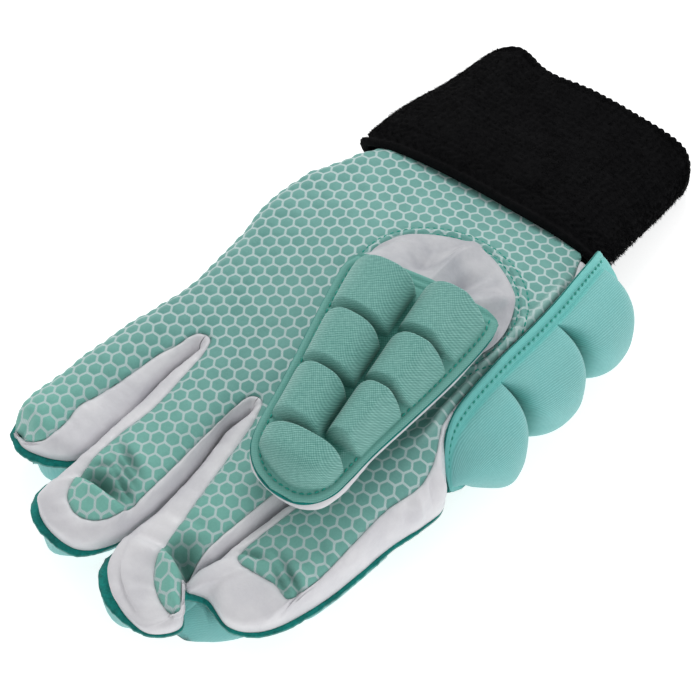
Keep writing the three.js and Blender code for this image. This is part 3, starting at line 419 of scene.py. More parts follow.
def palmHeight(x, y):
    z = palmTable(x, y)
    for edge in (ulnarLine, innerOutline):
        distance, drop = nearestOn(edge, x, y, closed=False)
        z -= drop * np.maximum(0, 1 - distance / rollWidth) ** 2
    for fold in folds:
        along, side = foldPlace(fold, x, y)
        near = np.exp(-(along / fold["along"]) ** 2)
        z -= fold["depth"] * near * np.exp(-(side / np.where(side > 0, fold["across"], fold["steep"])) ** 2)
        z += fold["lip"] * near * np.exp(-((side + 2.2 * fold["steep"] + 0.8) / 2.4) ** 2)
    z += ridge["height"] * ridgeRise(x, y, ridge["spread"])
    flat = flatPoints(x, y)
    sewn, _ = nearestOn(sewnOutline, x, y, closed=False)
    hole, _ = nearestOn(holeLine, x, y)
    z += palmCloth["swell"] * noiseAt(flat, 17, 3.1) * np.clip(sewn / 6, 0, 1)
    z += 0.35 * palmCloth["swell"] * noiseAt(flat, 6.5, 8.4) * np.clip(sewn / 4, 0, 1)
    z += palmCloth["pucker"] * noiseAt(flat, 2.6, 1.7) * np.exp(-sewn / 2.2)
    around = palmCloth["seamRound"]
    for distance in (sewn, hole):
        depth = np.clip(1 - distance / around, 0, 1)
        z -= around * (1 - np.sqrt(np.maximum(0, 1 - depth ** 2)))
    welt = smoothstep(hole, palmCloth["weltIn"], palmCloth["weltIn"] + 1.2)
    welt *= 1 - smoothstep(hole, palmCloth["weltOut"] - 1.4, palmCloth["weltOut"])
    z += palmCloth["weltHigh"] * welt
    for row in (palmCloth["weltIn"], palmCloth["weltOut"]):
        z -= palmCloth["stitchDent"] * np.exp(-((hole - row) / 0.55) ** 2)
    return z + 0.3 * noiseAt(flat, 2.2, 5.5) * np.exp(-((hole - 3.8) / 2.6) ** 2)


# painted shade: this mask darkens the print in the creases of the fingertips
def creaseShade(x, y):  # how far into a crease each place lies, from 0 to 1
    shade = np.zeros(len(x))
    for fold in folds:
        if fold["lip"] > 0:
            along, side = foldPlace(fold, x, y)
            across = np.where(side > 0, fold["across"] * 1.25, fold["steep"] * 1.1)
            near = np.exp(-(along / (fold["along"] * 1.1)) ** 2 - (side / across) ** 2)
            shade = np.maximum(shade, min(1, 0.35 + fold["depth"] / 9) * near)
    return shade


def wallTurn(place):  # the wall's angle: level at the seam, upright below its round part
    return min(place / wall["round"], 1) * math.pi / 2


def wallPoint(seam, edge, place):  # quarter turn from a seam out to an edge, and straight down from there
    belly = mix(seam[:, 2], wall["foot"], wall["belly"])
    below = max(0, (place - wall["round"]) / (1 - wall["round"]))
    out = mix(seam[:, :2], edge, math.sin(wallTurn(place)))
    z = belly + (seam[:, 2] - belly) * math.cos(wallTurn(place)) - (belly - wall["foot"]) * below
    return np.column_stack([out, z])


# Shader groups
def newGroup(name, inputs, outputs):  # an input without a value is a place, all others are numbers
    group = bpy.data.node_groups.new(name, "ShaderNodeTree")
    for label, value in inputs.items():
        kind = "NodeSocketVector" if value is None else "NodeSocketFloat"
        socket = group.interface.new_socket(label, in_out="INPUT", socket_type=kind)
        if value is not None:
            socket.default_value = value
    for label in outputs:
        group.interface.new_socket(label, in_out="OUTPUT", socket_type="NodeSocketFloat")
    return group, group.nodes.new("NodeGroupInput").outputs, group.nodes.new("NodeGroupOutput").inputs


def wire(tree, socket, value):
    if isinstance(value, bpy.types.NodeSocket):
        tree.links.new(value, socket)
    elif value is not None:
        socket.default_value = value


def mathNode(tree, operation, *values):
    node = tree.nodes.new("ShaderNodeMath")
    node.operation = operation
    for socket, value in zip(node.inputs, values):
        wire(tree, socket, value)
    return node.outputs[0]


def vectorNode(tree, operation, *values):
    node = tree.nodes.new("ShaderNodeVectorMath")
    node.operation = operation
    for socket, value in zip(node.inputs, values):
        wire(tree, socket, value)
    return node.outputs["Value" if operation in ("LENGTH", "DOT_PRODUCT") else "Vector"]


def turnNode(tree, vector, angle):  # turns a place about the upright axis
    node = tree.nodes.new("ShaderNodeVectorRotate")
    node.rotation_type = "Z_AXIS"
    wire(tree, node.inputs["Vector"], vector)
    wire(tree, node.inputs["Angle"], angle)
    return node.outputs[0]


def splitNode(tree, vector):
    node = tree.nodes.new("ShaderNodeSeparateXYZ")
    wire(tree, node.inputs[0], vector)
    return node.outputs


def noiseNode(tree, vector, scale, detail=2.0, roughness=0.5):
    node = tree.nodes.new("ShaderNodeTexNoise")
    wire(tree, node.inputs["Vector"], vector)
    wire(tree, node.inputs["Scale"], scale)
    node.inputs["Detail"].default_value = detail
    node.inputs["Roughness"].default_value = roughness
    return node.outputs["Fac"]


def rangeNode(tree, value, low, high, start=0.0, end=1.0, smooth=False):
    node = tree.nodes.new("ShaderNodeMapRange")
    if smooth:
        node.interpolation_type = "SMOOTHSTEP"
    labels = ["Value", "From Min", "From Max", "To Min", "To Max"]
    for label, item in zip(labels, [value, low, high, start, end]):
        wire(tree, node.inputs[label], item)
    return node.outputs["Result"]


def mixColor(tree, factor, a, b, blend="MIX"):
    node = tree.nodes.new("ShaderNodeMix")
    node.data_type = "RGBA"
    node.blend_type = blend
    wire(tree, node.inputs["Factor"], factor)
    wire(tree, node.inputs[6], a)
    wire(tree, node.inputs[7], b)
    return node.outputs[2]


def buildHexPrint():  # small hexagons: 0 in a cell, 1 on the lines between, and one grey value for each cell
    group, into, out = newGroup("hexPrint", {"Place": None, "Pitch": 5.0, "Turn": 0.6, "Line": 0.8,
                                             "Soft": 0.3}, ["Lines", "Cell", "Dome"])
    wobble = noiseNode(group, vectorNode(group, "MULTIPLY", into["Place"], (0.22, 0.22, 0.0)), 1.0)
    shifted = vectorNode(group, "ADD", into["Place"], mathNode(group, "MULTIPLY", wobble, 0.5))
    scaled = vectorNode(group, "DIVIDE", turnNode(group, shifted, into["Turn"]), into["Pitch"])
    ratio = (1.0, math.sqrt(3), 1.0)
    half = (0.5, math.sqrt(3) / 2, 0.5)

    def nearestCentre(place):  # way to a place from the nearest of every second centre
        piece = vectorNode(group, "FRACTION", vectorNode(group, "DIVIDE", place, ratio))
        offset = vectorNode(group, "MULTIPLY", vectorNode(group, "SUBTRACT", piece, (0.5, 0.5, 0.5)), ratio)
        return vectorNode(group, "MULTIPLY", offset, (1, 1, 0))

    first = nearestCentre(scaled)
    second = nearestCentre(vectorNode(group, "SUBTRACT", scaled, half))
    away = [vectorNode(group, "LENGTH", offset) for offset in (first, second)]
    pick = mathNode(group, "LESS_THAN", *away)
    chosen = group.nodes.new("ShaderNodeMix")
    chosen.data_type = "VECTOR"
    wire(group, chosen.inputs["Factor"], pick)
    wire(group, chosen.inputs[4], second)
    wire(group, chosen.inputs[5], first)
    local = chosen.outputs[1]
    flat = vectorNode(group, "ABSOLUTE", local)
    slant = vectorNode(group, "DOT_PRODUCT", flat, (0.5, math.sqrt(3) / 2, 0))
    level = vectorNode(group, "DOT_PRODUCT", flat, (1, 0, 0))
    reach = mathNode(group, "SMOOTH_MAX", slant, level, 0.09)
    inward = mathNode(group, "MULTIPLY", mathNode(group, "SUBTRACT", 0.5, reach), into["Pitch"])
    halfLine = mathNode(group, "MULTIPLY", into["Line"], 0.5)
    halfSoft = mathNode(group, "MULTIPLY", into["Soft"], 0.5)
    low = mathNode(group, "SUBTRACT", halfLine, halfSoft)
    high = mathNode(group, "ADD", halfLine, halfSoft)
    wire(group, out["Lines"], rangeNode(group, inward, low, high, 1.0, 0.0, True))
    tint = group.nodes.new("ShaderNodeTexWhiteNoise")
    tint.noise_dimensions = "2D"
    centre = vectorNode(group, "ADD", vectorNode(group, "SUBTRACT", scaled, local), (0.25, 0.25, 0))
    wire(group, tint.inputs["Vector"], vectorNode(group, "SNAP", centre, (0.5, 0.5, 0.5)))
    wire(group, out["Cell"], tint.outputs["Value"])
    wire(group, out["Dome"], rangeNode(group, inward, 0.0, 1.6, 0.0, 1.0, True))
    return group


def buildKnitGrain():  # rows of knitted loops: courses one way, wales the other
    group, into, out = newGroup("knitGrain", {"Place": None, "Course": 0.62, "Wale": 0.7, "Turn": 0.0,
                                              "Wander": 0.25, "Cross": 0.38}, ["Height", "Shade"])
    drift = noiseNode(group, vectorNode(group, "MULTIPLY", into["Place"], (0.3, 0.3, 0.3)), 1.0)
    drifted = vectorNode(group, "ADD", into["Place"], mathNode(group, "MULTIPLY", drift, into["Wander"]))
    parts = splitNode(group, turnNode(group, drifted, into["Turn"]))

    def wave(value, pitch):
        angle = mathNode(group, "MULTIPLY", mathNode(group, "DIVIDE", value, pitch), 2 * math.pi)
        return mathNode(group, "MULTIPLY_ADD", mathNode(group, "SINE", angle), 0.5, 0.5)

    course = wave(parts["Y"], into["Course"])
    wale = mathNode(group, "MULTIPLY", wave(parts["X"], into["Wale"]), into["Cross"])
    loops = mathNode(group, "MULTIPLY_ADD", course, mathNode(group, "SUBTRACT", 1.0, into["Cross"]), wale)
    patchy = noiseNode(group, vectorNode(group, "MULTIPLY", into["Place"], (0.8, 0.8, 0.8)), 1.0)
    wire(group, out["Height"], loops)
    paler = rangeNode(group, patchy, 0.3, 0.7, 0.65, 1.0)
    wire(group, out["Shade"], mathNode(group, "MULTIPLY", loops, paler))
    return group


def buildFuzz():  # fine uneven nap, at a size in metres
    group, into, out = newGroup("napFuzz", {"Size": 0.001}, ["Height", "Shade"])
    place = group.nodes.new("ShaderNodeTexCoord").outputs["Object"]
    scale = mathNode(group, "DIVIDE", 1.0, into["Size"])
    fine = noiseNode(group, place, scale, 4.0, 0.65)
    broad = noiseNode(group, place, mathNode(group, "MULTIPLY", scale, 0.12), 2.0, 0.5)
    wire(group, out["Height"], fine)
    both = mathNode(group, "MULTIPLY_ADD", fine, 0.6, mathNode(group, "MULTIPLY", broad, 0.4))
    wire(group, out["Shade"], rangeNode(group, both, 0.35, 0.65, 0.0, 1.0))
    return group


def buildToneDrift():  # slow change of tone over a surface, from 0 to 1
    group, into, out = newGroup("toneDrift", {"Size": 0.02}, ["Tone"])
    place = group.nodes.new("ShaderNodeTexCoord").outputs["Object"]
    value = noiseNode(group, place, mathNode(group, "DIVIDE", 1.0, into["Size"]), 3.0, 0.55)
    wire(group, out["Tone"], rangeNode(group, value, 0.3, 0.7, 0.0, 1.0, True))
    return group


hexPrint = buildHexPrint()
knitGrain = buildKnitGrain()
napFuzz = buildFuzz()
toneDrift = buildToneDrift()
print("shader groups built")


def groupNode(tree, group, **values):
    node = tree.nodes.new("ShaderNodeGroup")
    node.node_tree = group
    for key, value in values.items():
        wire(tree, node.inputs[key], value)
    return node.outputs


def newMaterial(name, roughness, sheen=0.0, specular=0.5):
    material = bpy.data.materials.new(name)
    material.use_nodes = True
    tree = material.node_tree
    shader = tree.nodes["Principled BSDF"]
    shader.inputs["Roughness"].default_value = roughness
    shader.inputs["Sheen Weight"].default_value = sheen
    shader.inputs["Sheen Roughness"].default_value = 0.5
    shader.inputs["Specular IOR Level"].default_value = specular
    return material, tree, shader


def placeOf(tree, key):
    node = tree.nodes.new("ShaderNodeAttribute")
    node.attribute_name = key
    return node.outputs["Vector"]


def bumpNode(tree, height, strength, distance, normal=None):
    node = tree.nodes.new("ShaderNodeBump")
    node.inputs["Strength"].default_value = strength
    node.inputs["Distance"].default_value = distance
    wire(tree, node.inputs["Height"], height)
    if normal is not None:
        wire(tree, node.inputs["Normal"], normal)
    return node.outputs["Normal"]


printedCloth = {
    "cell": (0.165, 0.40, 0.36, 1),
    "cellDark": (0.13, 0.345, 0.31, 1),
    "cellTipPale": (0.215, 0.55, 0.46, 1),    # paler towards the fingertips
    "line": (0.56, 0.69, 0.69, 1),
    "lineDark": (0.40, 0.56, 0.545, 1),
    # painted shade: the print is multiplied by this colour in its creases
    "crease": (0.22, 0.30, 0.29, 1),
    # partly rubbed print, partly painted light: the paler print on the ridge in the thumb's shadow
    "rubbedAndLit": (0.55, 0.72, 0.69, 1),
    "pitch": 5.0,
    "turn": -0.61,
    "lineWidth": 0.8,
    "lineSoft": 0.32,
}


def makePrintedCloth(name):
    material, tree, shader = newMaterial(name, 0.62, 0.15, 0.35)
    place = placeOf(tree, "printPlace")
    parts = splitNode(tree, place)
    cells = groupNode(tree, hexPrint, Place=place, Pitch=printedCloth["pitch"], Turn=printedCloth["turn"],
                      Line=printedCloth["lineWidth"], Soft=printedCloth["lineSoft"])
    drift = mathNode(tree, "MULTIPLY", groupNode(tree, toneDrift, Size=0.014)["Tone"], 0.65)
    nap = groupNode(tree, napFuzz, Size=0.0006)
    tone = mathNode(tree, "MULTIPLY_ADD", cells["Cell"], 0.35, drift)
    tipPaling = rangeNode(tree, parts["Y"], -25, -95, 0.0, 0.75)
    cell = mixColor(tree, tone, printedCloth["cellDark"], printedCloth["cell"])
    cell = mixColor(tree, tipPaling, cell, printedCloth["cellTipPale"])
    weave = groupNode(tree, knitGrain, Place=place, Course=0.5, Wale=0.42, Turn=0.3, Wander=0.2)
    line = mixColor(tree, weave["Shade"], printedCloth["lineDark"], printedCloth["line"])
    painted = mixColor(tree, cells["Lines"], cell, line)
    # painted shade: darkened by the third value of printPlace, how far into a crease each place lies
    painted = mixColor(tree, parts["Z"], painted, printedCloth["crease"], "MULTIPLY")
    # painted light: below zero the third value of printPlace turns the print paler on the ridge, partly
    # rubbed print
    rubbedAndLit = rangeNode(tree, parts["Z"], 0.0, -1.0, 0.0, 1.0)
    painted = mixColor(tree, rubbedAndLit, painted, printedCloth["rubbedAndLit"])
    wire(tree, shader.inputs["Base Color"], mixColor(tree, 0.12, painted, nap["Shade"], "SOFT_LIGHT"))
    raised = bumpNode(tree, cells["Dome"], 0.55, 0.0002)
    wire(tree, shader.inputs["Normal"], bumpNode(tree, weave["Height"], 0.18, 0.0002, raised))
    return material


# The knit over the foam: turn of its rows, size of its loops, and how strongly loops and cross rows show
thumbMint = {"base": (0.31, 0.62, 0.56, 1), "shade": (0.020, 0.185, 0.155, 1), "rim": (0.74, 0.89, 0.87, 1),
             "turn": 0.54, "course": 0.62, "wale": 0.7, "contrast": 0.85, "cross": 0.3}
sideMint = {"base": (0.26, 0.635, 0.62, 1), "shade": (0.11, 0.39, 0.375, 1), "rim": (0.80, 1.06, 1.03, 1),
            "turn": -0.12, "course": 0.62, "wale": 0.75, "contrast": 0.6, "cross": 0.06}
fingerMint = {**sideMint, "turn": 0.3, "wale": 0.7, "contrast": 0.3, "cross": 0.3}
# the second tint is painted shade for the grooves between the lobes; the first is a slow change of tone
foamShades = {"drift": (0.30, 0.54, 0.50, 1), "grooveShade": (0.30, 0.62, 0.57, 1)}


def makeFoamKnit(name, look):
    material, tree, shader = newMaterial(name, 0.72, 0.25, 0.3)
    place = placeOf(tree, "knitPlace")
    mask = splitNode(tree, place)["Z"]
    knit = groupNode(tree, knitGrain, Place=place, Course=look["course"], Wale=look["wale"],
                     Turn=look["turn"], Wander=0.5, Cross=look["cross"])
    drift = groupNode(tree, toneDrift, Size=0.012)
    shown = rangeNode(tree, knit["Shade"], 0.15, 0.85, 1 - look["contrast"], 1.0)
    rim = rangeNode(tree, mask, 0.0, 1.0, 0.0, 1.0)
    # painted shade: below zero the third value of knitPlace darkens the knit with the groove tint at the end
    grooveShade = rangeNode(tree, mask, 0.0, -1.0, 0.0, 1.0)
    plain = mathNode(tree, "MULTIPLY", rim, 0.75)  # the stitched rims show hardly any loops
    change = mathNode(tree, "SUBTRACT", 1 - 0.42 * look["contrast"], shown)
    even = mathNode(tree, "MULTIPLY_ADD", change, plain, shown)
    loops = mixColor(tree, even, look["shade"], look["base"])
    toned = mixColor(tree, rangeNode(tree, drift["Tone"], 0, 1, 0.0, 0.12), loops, foamShades["drift"])
    flat = mixColor(tree, rim, toned, look["rim"], "MULTIPLY")
    wire(tree, shader.inputs["Base Color"], mixColor(tree, grooveShade, flat, foamShades["grooveShade"], "MULTIPLY"))
    wire(tree, shader.inputs["Normal"], bumpNode(tree, knit["Height"], 0.35, 0.0003))
    return material


# the second pair is a darker copy of the white leather: painted shade for the drape round the thumb's root,
# which lies under the thumb
leatherTones = {"whiteLeather": ((0.69, 0.685, 0.72, 1), (0.79, 0.785, 0.81, 1)),
                "shadedLeather": ((0.42, 0.43, 0.465, 1), (0.56, 0.565, 0.59, 1))}


def makeLeather(name):
    material, tree, shader = newMaterial(name, 0.46, 0.05, 0.4)
    drift = groupNode(tree, toneDrift, Size=0.016)
    grain = groupNode(tree, napFuzz, Size=0.0011)
    white = mixColor(tree, drift["Tone"], *leatherTones[name])
    wire(tree, shader.inputs["Base Color"], mixColor(tree, 0.08, white, grain["Shade"], "SOFT_LIGHT"))
    broad = bumpNode(tree, groupNode(tree, napFuzz, Size=0.007)["Height"], 0.3, 0.0012)
    wire(tree, shader.inputs["Normal"], bumpNode(tree, grain["Height"], 0.12, 0.0003, broad))
    return material


fuzzyLooks = {  # roughness, sheen and gloss; size of the nap; its two tones; strength and depth of its relief
    "tealFelt": {"surface": (0.85, 0.3, 0.25), "nap": 0.0013, "dark": (0.001, 0.135, 0.12, 1),
                 "light": (0.003, 0.30, 0.26, 1), "relief": (0.6, 0.0006)},
    "tealThread": {"surface": (0.55, 0.2, 0.4), "nap": 0.0005, "dark": (0.004, 0.23, 0.18, 1),
                   "light": (0.012, 0.40, 0.31, 1), "relief": None},
    "cuffKnit": {"surface": (0.95, 0.0, 0.1), "nap": 0.0014, "dark": (0.0022, 0.0022, 0.0026, 1),
                 "light": (0.005, 0.005, 0.0056, 1), "relief": (0.8, 0.0008)},
    "cuffFibre": {"surface": (0.95, 0.0, 0.1), "nap": 0.0014, "dark": (0.0022, 0.0022, 0.0026, 1),
                  "light": (0.008, 0.008, 0.00896, 1), "relief": (0.8, 0.0008)},
}


def makeFuzzy(name):
    look = fuzzyLooks[name]
    material, tree, shader = newMaterial(name, *look["surface"])
    fuzz = groupNode(tree, napFuzz, Size=look["nap"])
    wire(tree, shader.inputs["Base Color"], mixColor(tree, fuzz["Shade"], look["dark"], look["light"]))
    if look["relief"]:
        wire(tree, shader.inputs["Normal"], bumpNode(tree, fuzz["Height"], *look["relief"]))
    return material


printedMaterial = makePrintedCloth("printedCloth")
thumbKnit = makeFoamKnit("thumbKnit", thumbMint)
sideKnit = makeFoamKnit("sideKnit", sideMint)
fingerKnit = makeFoamKnit("fingerKnit", fingerMint)
leatherMaterial = makeLeather("whiteLeather")
# painted shade: the thumb's root gets the darker copy of the white leather
shadedRootMaterial = makeLeather("shadedLeather")
feltMaterial = makeFuzzy("tealFelt")
threadMaterial = makeFuzzy("tealThread")
cuffMaterial = makeFuzzy("cuffKnit")
fibreMaterial = makeFuzzy("cuffFibre")
print("materials built")


# Palm cloth
def isWithin(loops, points):  # inside the first outline and outside the others
    inside = isInside(loops[0], *points.T)
    for hole in loops[1:]:
        inside &= ~isInside(hole, *points.T)
    return inside


def triangulate(loops, step, area=(-74, -116, 50, 96)):  # area: left, low, right and high limit of the grid
    left, low, right, high = area
    grid = []
    for k, y in enumerate(np.arange(low, high, step * math.sin(math.pi / 3))):
        x = np.arange(left + (step / 2 if k % 2 else 0), right, step)
        grid.append(np.column_stack([x, np.full(len(x), y)]))
    grid = np.concatenate(grid)
    grid = grid[isWithin(loops, grid)]
    for loop in loops:
        edge, _ = nearestOn(flatPoints(loop[:, 0], loop[:, 1]), *grid.T)
        grid = grid[edge > step * 0.55]
    corners = [Vector(p) for loop in loops for p in loop[:, :2].tolist()] + [Vector(p) for p in grid.tolist()]
    edges = []
    start = 0
    for loop in loops:
        edges += [(start + i, start + (i + 1) % len(loop)) for i in range(len(loop))]
        start += len(loop)
    found, _, faces, *_ = delaunay_2d_cdt(corners, edges, [], 0, 1e-6)
    found = np.array([tuple(p) for p in found])
    faces = np.array([list(face) for face in faces])
    return found, faces[isWithin(loops, found[faces].mean(1))]


def mergePoints(points, faces, extra):  # joins points that lie within a twentieth of a millimetre
    tree = KDTree(len(points))
    for i, point in enumerate(points):
        tree.insert(point, i)
    tree.balance()
    owner = np.array([min(found[1] for found in tree.find_range(point, 0.05)) for point in points])
    first, back = np.unique(owner, return_inverse=True)
    merged = []
    for face in faces:
        corners = [back[corner] for corner in face]
        if len(set(corners)) == len(corners):
            merged.append(corners)
    return points[first], merged, extra[first]


def cellSwell(x, y):  # the printed cells stand a little proud: 1 at a cell's middle, -0.5 between cells
    turn = printedCloth["turn"]
    x, y = x + 0.25, y + 0.25
    full = 2 * math.pi / printedCloth["pitch"]
    across = (x * math.cos(turn) - y * math.sin(turn)) * full
    slant = (x * math.sin(turn) + y * math.cos(turn)) * full / math.sqrt(3)
    return (np.cos(across - slant) + np.cos(across + slant) + np.cos(2 * slant)) / 3


def buildPalmCloth():
    found, faces = triangulate([panelOutline, holeLine], palmCloth["step"])
    x, y = found.T
    nearEdge = 1 - smoothstep(x - ulnarTurn(y), 6, 16)
    top = np.column_stack([found, palmHeight(x, y) + palmCloth["cellHigh"] * nearEdge * cellSwell(x, y)])
    # partly rubbed print, partly painted light on the ridge; the third value of printPlace also carries the
    # painted crease shade
    rubbedAndLit = ridge["rubbedAndLit"] * ridgeRise(x, y, ridge["rubbedAndLitSpread"])
    prints = np.column_stack([found, creaseShade(x, y) - rubbedAndLit])
    down = palmCloth["wallRows"]
    seam = np.column_stack([ulnarLine[:, :2], palmHeight(ulnarLine[:, 0], ulnarLine[:, 1])])
    edge = np.column_stack([ulnarEdge(ulnarLine[:, 1]), ulnarLine[:, 1]])
    rows = [wallPoint(seam, edge, k / down) for k in range(down + 1)]
    lumps = [palmCloth["lumps"] * noiseAt(row, 12, 2.2) + 0.35 * noiseAt(row, 5, 4.4) for row in rows]
    for k in range(1, down + 1):
        rows[k][:, 0] += lumps[k] * min(1, 3 * k / down)
    steps = [np.linalg.norm(b - a, axis=1) for a, b in zip(rows, rows[1:])]
    arcs = np.cumsum([np.zeros(len(seam))] + steps, axis=0)
    for k in range(down + 1):
        turned = wallTurn(k / down)
        swell = palmCloth["cellHigh"] * cellSwell(seam[:, 0] - arcs[k], seam[:, 1])
        rows[k] = rows[k] + np.column_stack([-swell * math.sin(turned), 0 * swell, swell * math.cos(turned)])
    wallPrints = [flatPoints(seam[:, 0] - arc, seam[:, 1]) for arc in arcs]
    faces = [list(face) for face in faces] + gridFaces(len(rows), len(seam), start=len(top), flip=True)
    prints = np.concatenate([prints] + wallPrints)
    points, faces, prints = mergePoints(np.concatenate([top] + rows), faces, prints)
    return makePiece("palmCloth", points, faces, printedMaterial, "palm_panel", {"printPlace": prints},
                     thickness=palmCloth["thickness"])


palmPiece = buildPalmCloth()
print("palm cloth:", len(palmPiece.data.polygons), "faces")


# White gussets
gussets = {
    "down": 26,
    "thickness": 1.0,
    "lift": 0.45,    # how high the white puffs up beside the seam
    "wave": 0.45,    # slow waves of the wall
    "crease": 0.2,   # finer creases
}
gussetCreases = {    # row along the way, place down the wall, half sizes along and down, depth
    "pinky": [[1.5, 0.45, 0.5, 0.3, -0.8], [3, 0.35, 0.35, 0.3, -0.9], [4, 0.5, 0.4, 0.25, 0.8]],
    "ring": [[8.2, 0.35, 0.25, 0.25, -0.9], [8.9, 0.5, 0.22, 0.4, 0.9], [9.6, 0.45, 0.2, 0.3, -0.8],
             [11.4, 0.4, 0.4, 0.2, -0.5]],
    "middle": [[8.3, 0.46, 1.0, 0.08, -2.1], [8.9, 0.6, 0.9, 0.07, 1.4], [8.9, 0.3, 0.7, 0.08, 1.2],
               [9.7, 0.5, 0.5, 0.1, -1.0], [7.4, 0.4, 0.3, 0.3, -0.6], [11.2, 0.5, 0.3, 0.3, -0.8]],
    "index": [[5.7, 0.55, 0.8, 0.35, 1.6], [7.0, 0.5, 0.35, 0.3, -0.9], [7.8, 0.4, 0.6, 0.12, 0.4],
              [12.6, 0.5, 0.25, 0.4, -0.9], [13.55, 0.45, 0.13, 0.5, -1.6], [13.9, 0.5, 0.12, 0.5, 1.2],
              [14.5, 0.45, 0.13, 0.5, -1.8], [15.0, 0.5, 0.16, 0.5, 1.2]],
}


def planNormals(x, y):
    dx = np.gradient(x)
    dy = np.gradient(y)
    reach = np.maximum(np.hypot(dx, dy), 1e-6)
    return dy / reach, -dx / reach


def buildGusset(name, way, creases=()):
    nx, ny = planNormals(way["seamX"], way["seamY"])
    z = palmHeight(way["seamX"], way["seamY"]) - 0.1
    seam = np.column_stack([way["seamX"] + nx * 0.15, way["seamY"] + ny * 0.15, z])
    tucked = np.column_stack([way["seamX"] - nx * 0.9, way["seamY"] - ny * 0.9, z - 0.9])
    edge = np.column_stack([way["edgeX"], way["edgeY"]])
    ex, ey = planNormals(way["edgeX"], way["edgeY"])
    arc = arcLength(edge)
    index = np.arange(len(arc)) / 10  # row of the table
    down = gussets["down"]
    rows = [tucked]
    for k in range(down + 1):
        place = k / down
        row = wallPoint(seam, edge, place)
        away = np.hypot(row[:, 0] - seam[:, 0], row[:, 1] - seam[:, 1])
        row[:, 2] += gussets["lift"] * (1 - np.exp(-away / 0.6)) * max(0, 1 - place / 0.6)
        field = flatPoints(arc, np.full(len(arc), place * 16))
        bulge = gussets["wave"] * noiseAt(field, 9, 6.6) + gussets["crease"] * noiseAt(field, 3.4, 9.1)
        for at, low, halfAlong, halfDown, depth in creases:
            bulge += depth * np.exp(-((index - at) / halfAlong) ** 2 - ((place - low) / halfDown) ** 2)
        bulge *= math.sin(math.pi * min(1, place * 1.15 + 0.02)) if place < 0.85 else 0.15
        row += np.column_stack([ex * bulge, ey * bulge, 0.7 * bulge * max(0, 1 - place / 0.7)])
        rows.append(row)
    faces = gridFaces(len(rows), len(arc), flip=True)
    makePiece(f"{name}White", np.concatenate(rows), faces, leatherMaterial, f"{name}_gusset",
              thickness=gussets["thickness"])


gussetTables = {**fingers, "index": fingers["index"] + readTable(wayRound, [
    [40.2, 2, 43.6, 0.8, 1, 0],
    [39.55, 6, 42.4, 5.4, 0.5, 0],
])}
for finger, table in gussetTables.items():
    buildGusset(finger, alongRows(table, 10), gussetCreases[finger])
wallX = smoothColumn(radialSide, "y", "wall")
radialY = evenPlaces(6.4, 87, 1)
radialWay = {"seamX": radialX(radialY), "seamY": radialY, "edgeX": wallX(radialY), "edgeY": radialY}
buildGusset("radial", radialWay)
print("white gussets built")


# Felt backings and the foam under them
feltSheets = {"step": 2.2, "thickness": 1.5, "wave": 0.5, "edgeWave": 0.35}
indexFlap = {"x": 13, "y": -95, "spread": 4.4, "lift": 5.0, "reach": np.array([-0.3, -2.6])}


def flapShare(x, y):  # the index finger's felt and foam turn up at the corner of its tip: 1 there, 0 far away
    away = np.hypot(x - indexFlap["x"], y - indexFlap["y"])
    return np.exp(-(away / indexFlap["spread"]) ** 2)


def backWay(name):
    way = {key: fingerWays[name][key] for key in ("edgeX", "edgeY", "flange")}
    if name == "pinky":
        y = evenPlaces(-23 - 2 * gap, -83.2, 1.2)
        outer = {"edgeX": ulnarEdge(y), "edgeY": y, "flange": np.full(len(y), 0.8)}
        way = {key: np.concatenate([outer[key], way[key]]) for key in way}
    return way


def backingOutline(way, inset):
    nx, ny = planNormals(way["edgeX"], way["edgeY"])
    reach = way["flange"] - inset
    return np.column_stack([way["edgeX"] + nx * reach, way["edgeY"] + ny * reach])


def buildFelt(name, outline, node, flange=None, flap=False):
    if flange is not None:  # the edge waves where it shows
        flat = flatPoints(*outline.T)
        shift = feltSheets["edgeWave"] * noiseAt(flat, 2.4, 7.7) + 0.25 * noiseAt(flat, 0.9, 1.2)
        shift *= np.clip(flange, 0, 1)
        outline = outline + np.column_stack(planNormals(*outline.T)) * shift[:, None]
    found, faces = triangulate([outline], feltSheets["step"])
    flat = flatPoints(*found.T)
    edge, _ = nearestOn(flatPoints(*outline.T), *found.T)
    z = backing["high"] + 0.15 * noiseAt(flat, 8, 3.3)
    z += feltSheets["wave"] * noiseAt(flat, 7, 1.1) * np.exp(-edge / 1.5)
    if flap:
        share = flapShare(*found.T)
        z += indexFlap["lift"] * share
        found = found + share[:, None] * indexFlap["reach"]
    makePiece(name, np.column_stack([found, z]), faces, feltMaterial, node, thickness=feltSheets["thickness"])


fingerOutlines = {}
for finger in fingers:
    way = backWay(finger)
    outline = backingOutline(way, gap / 3)
    buildFelt(f"{finger}Felt", outline, f"{finger}_backing", way["flange"], finger == "index")
    fingerOutlines[finger] = way
print("finger felts built")


def loafHeight(along, across):  # a loaf with steep ends and a rounder arch
    return np.maximum(0, 1 - np.abs(along) ** 5 - np.abs(across) ** 3) ** (1 / 2.2)


def endRise(away, reach):  # 0 at a lobe's end and 1 past its rounded edge
    return (1 - np.clip(1 - away / reach, 0, 1) ** 3) ** (1 / 3)


def lobeLines(start, spans, end, samples):  # grid places: even in the margins, crowded at each lobe's ends
    places = [start]
    for low, high in spans:
        inside = (low + high) / 2 + (high - low) / 2 * crowded(samples)
        if inside[0] - places[-1] > 1.4:
            places += list(evenPlaces(places[-1], inside[0], 0.7)[1:-1])
        places += list(inside)
    places += list(evenPlaces(places[-1], end, 0.7)[1:])
    return np.array(places)


def spanOf(places, spans):  # -1 to 1 within a lobe, and 1 between lobes
    found = np.ones(np.shape(places))
    for low, high in spans:
        hit = (places > low) & (places < high)
        found = np.where(hit, (2 * places - low - high) / (high - low), found)
    return found


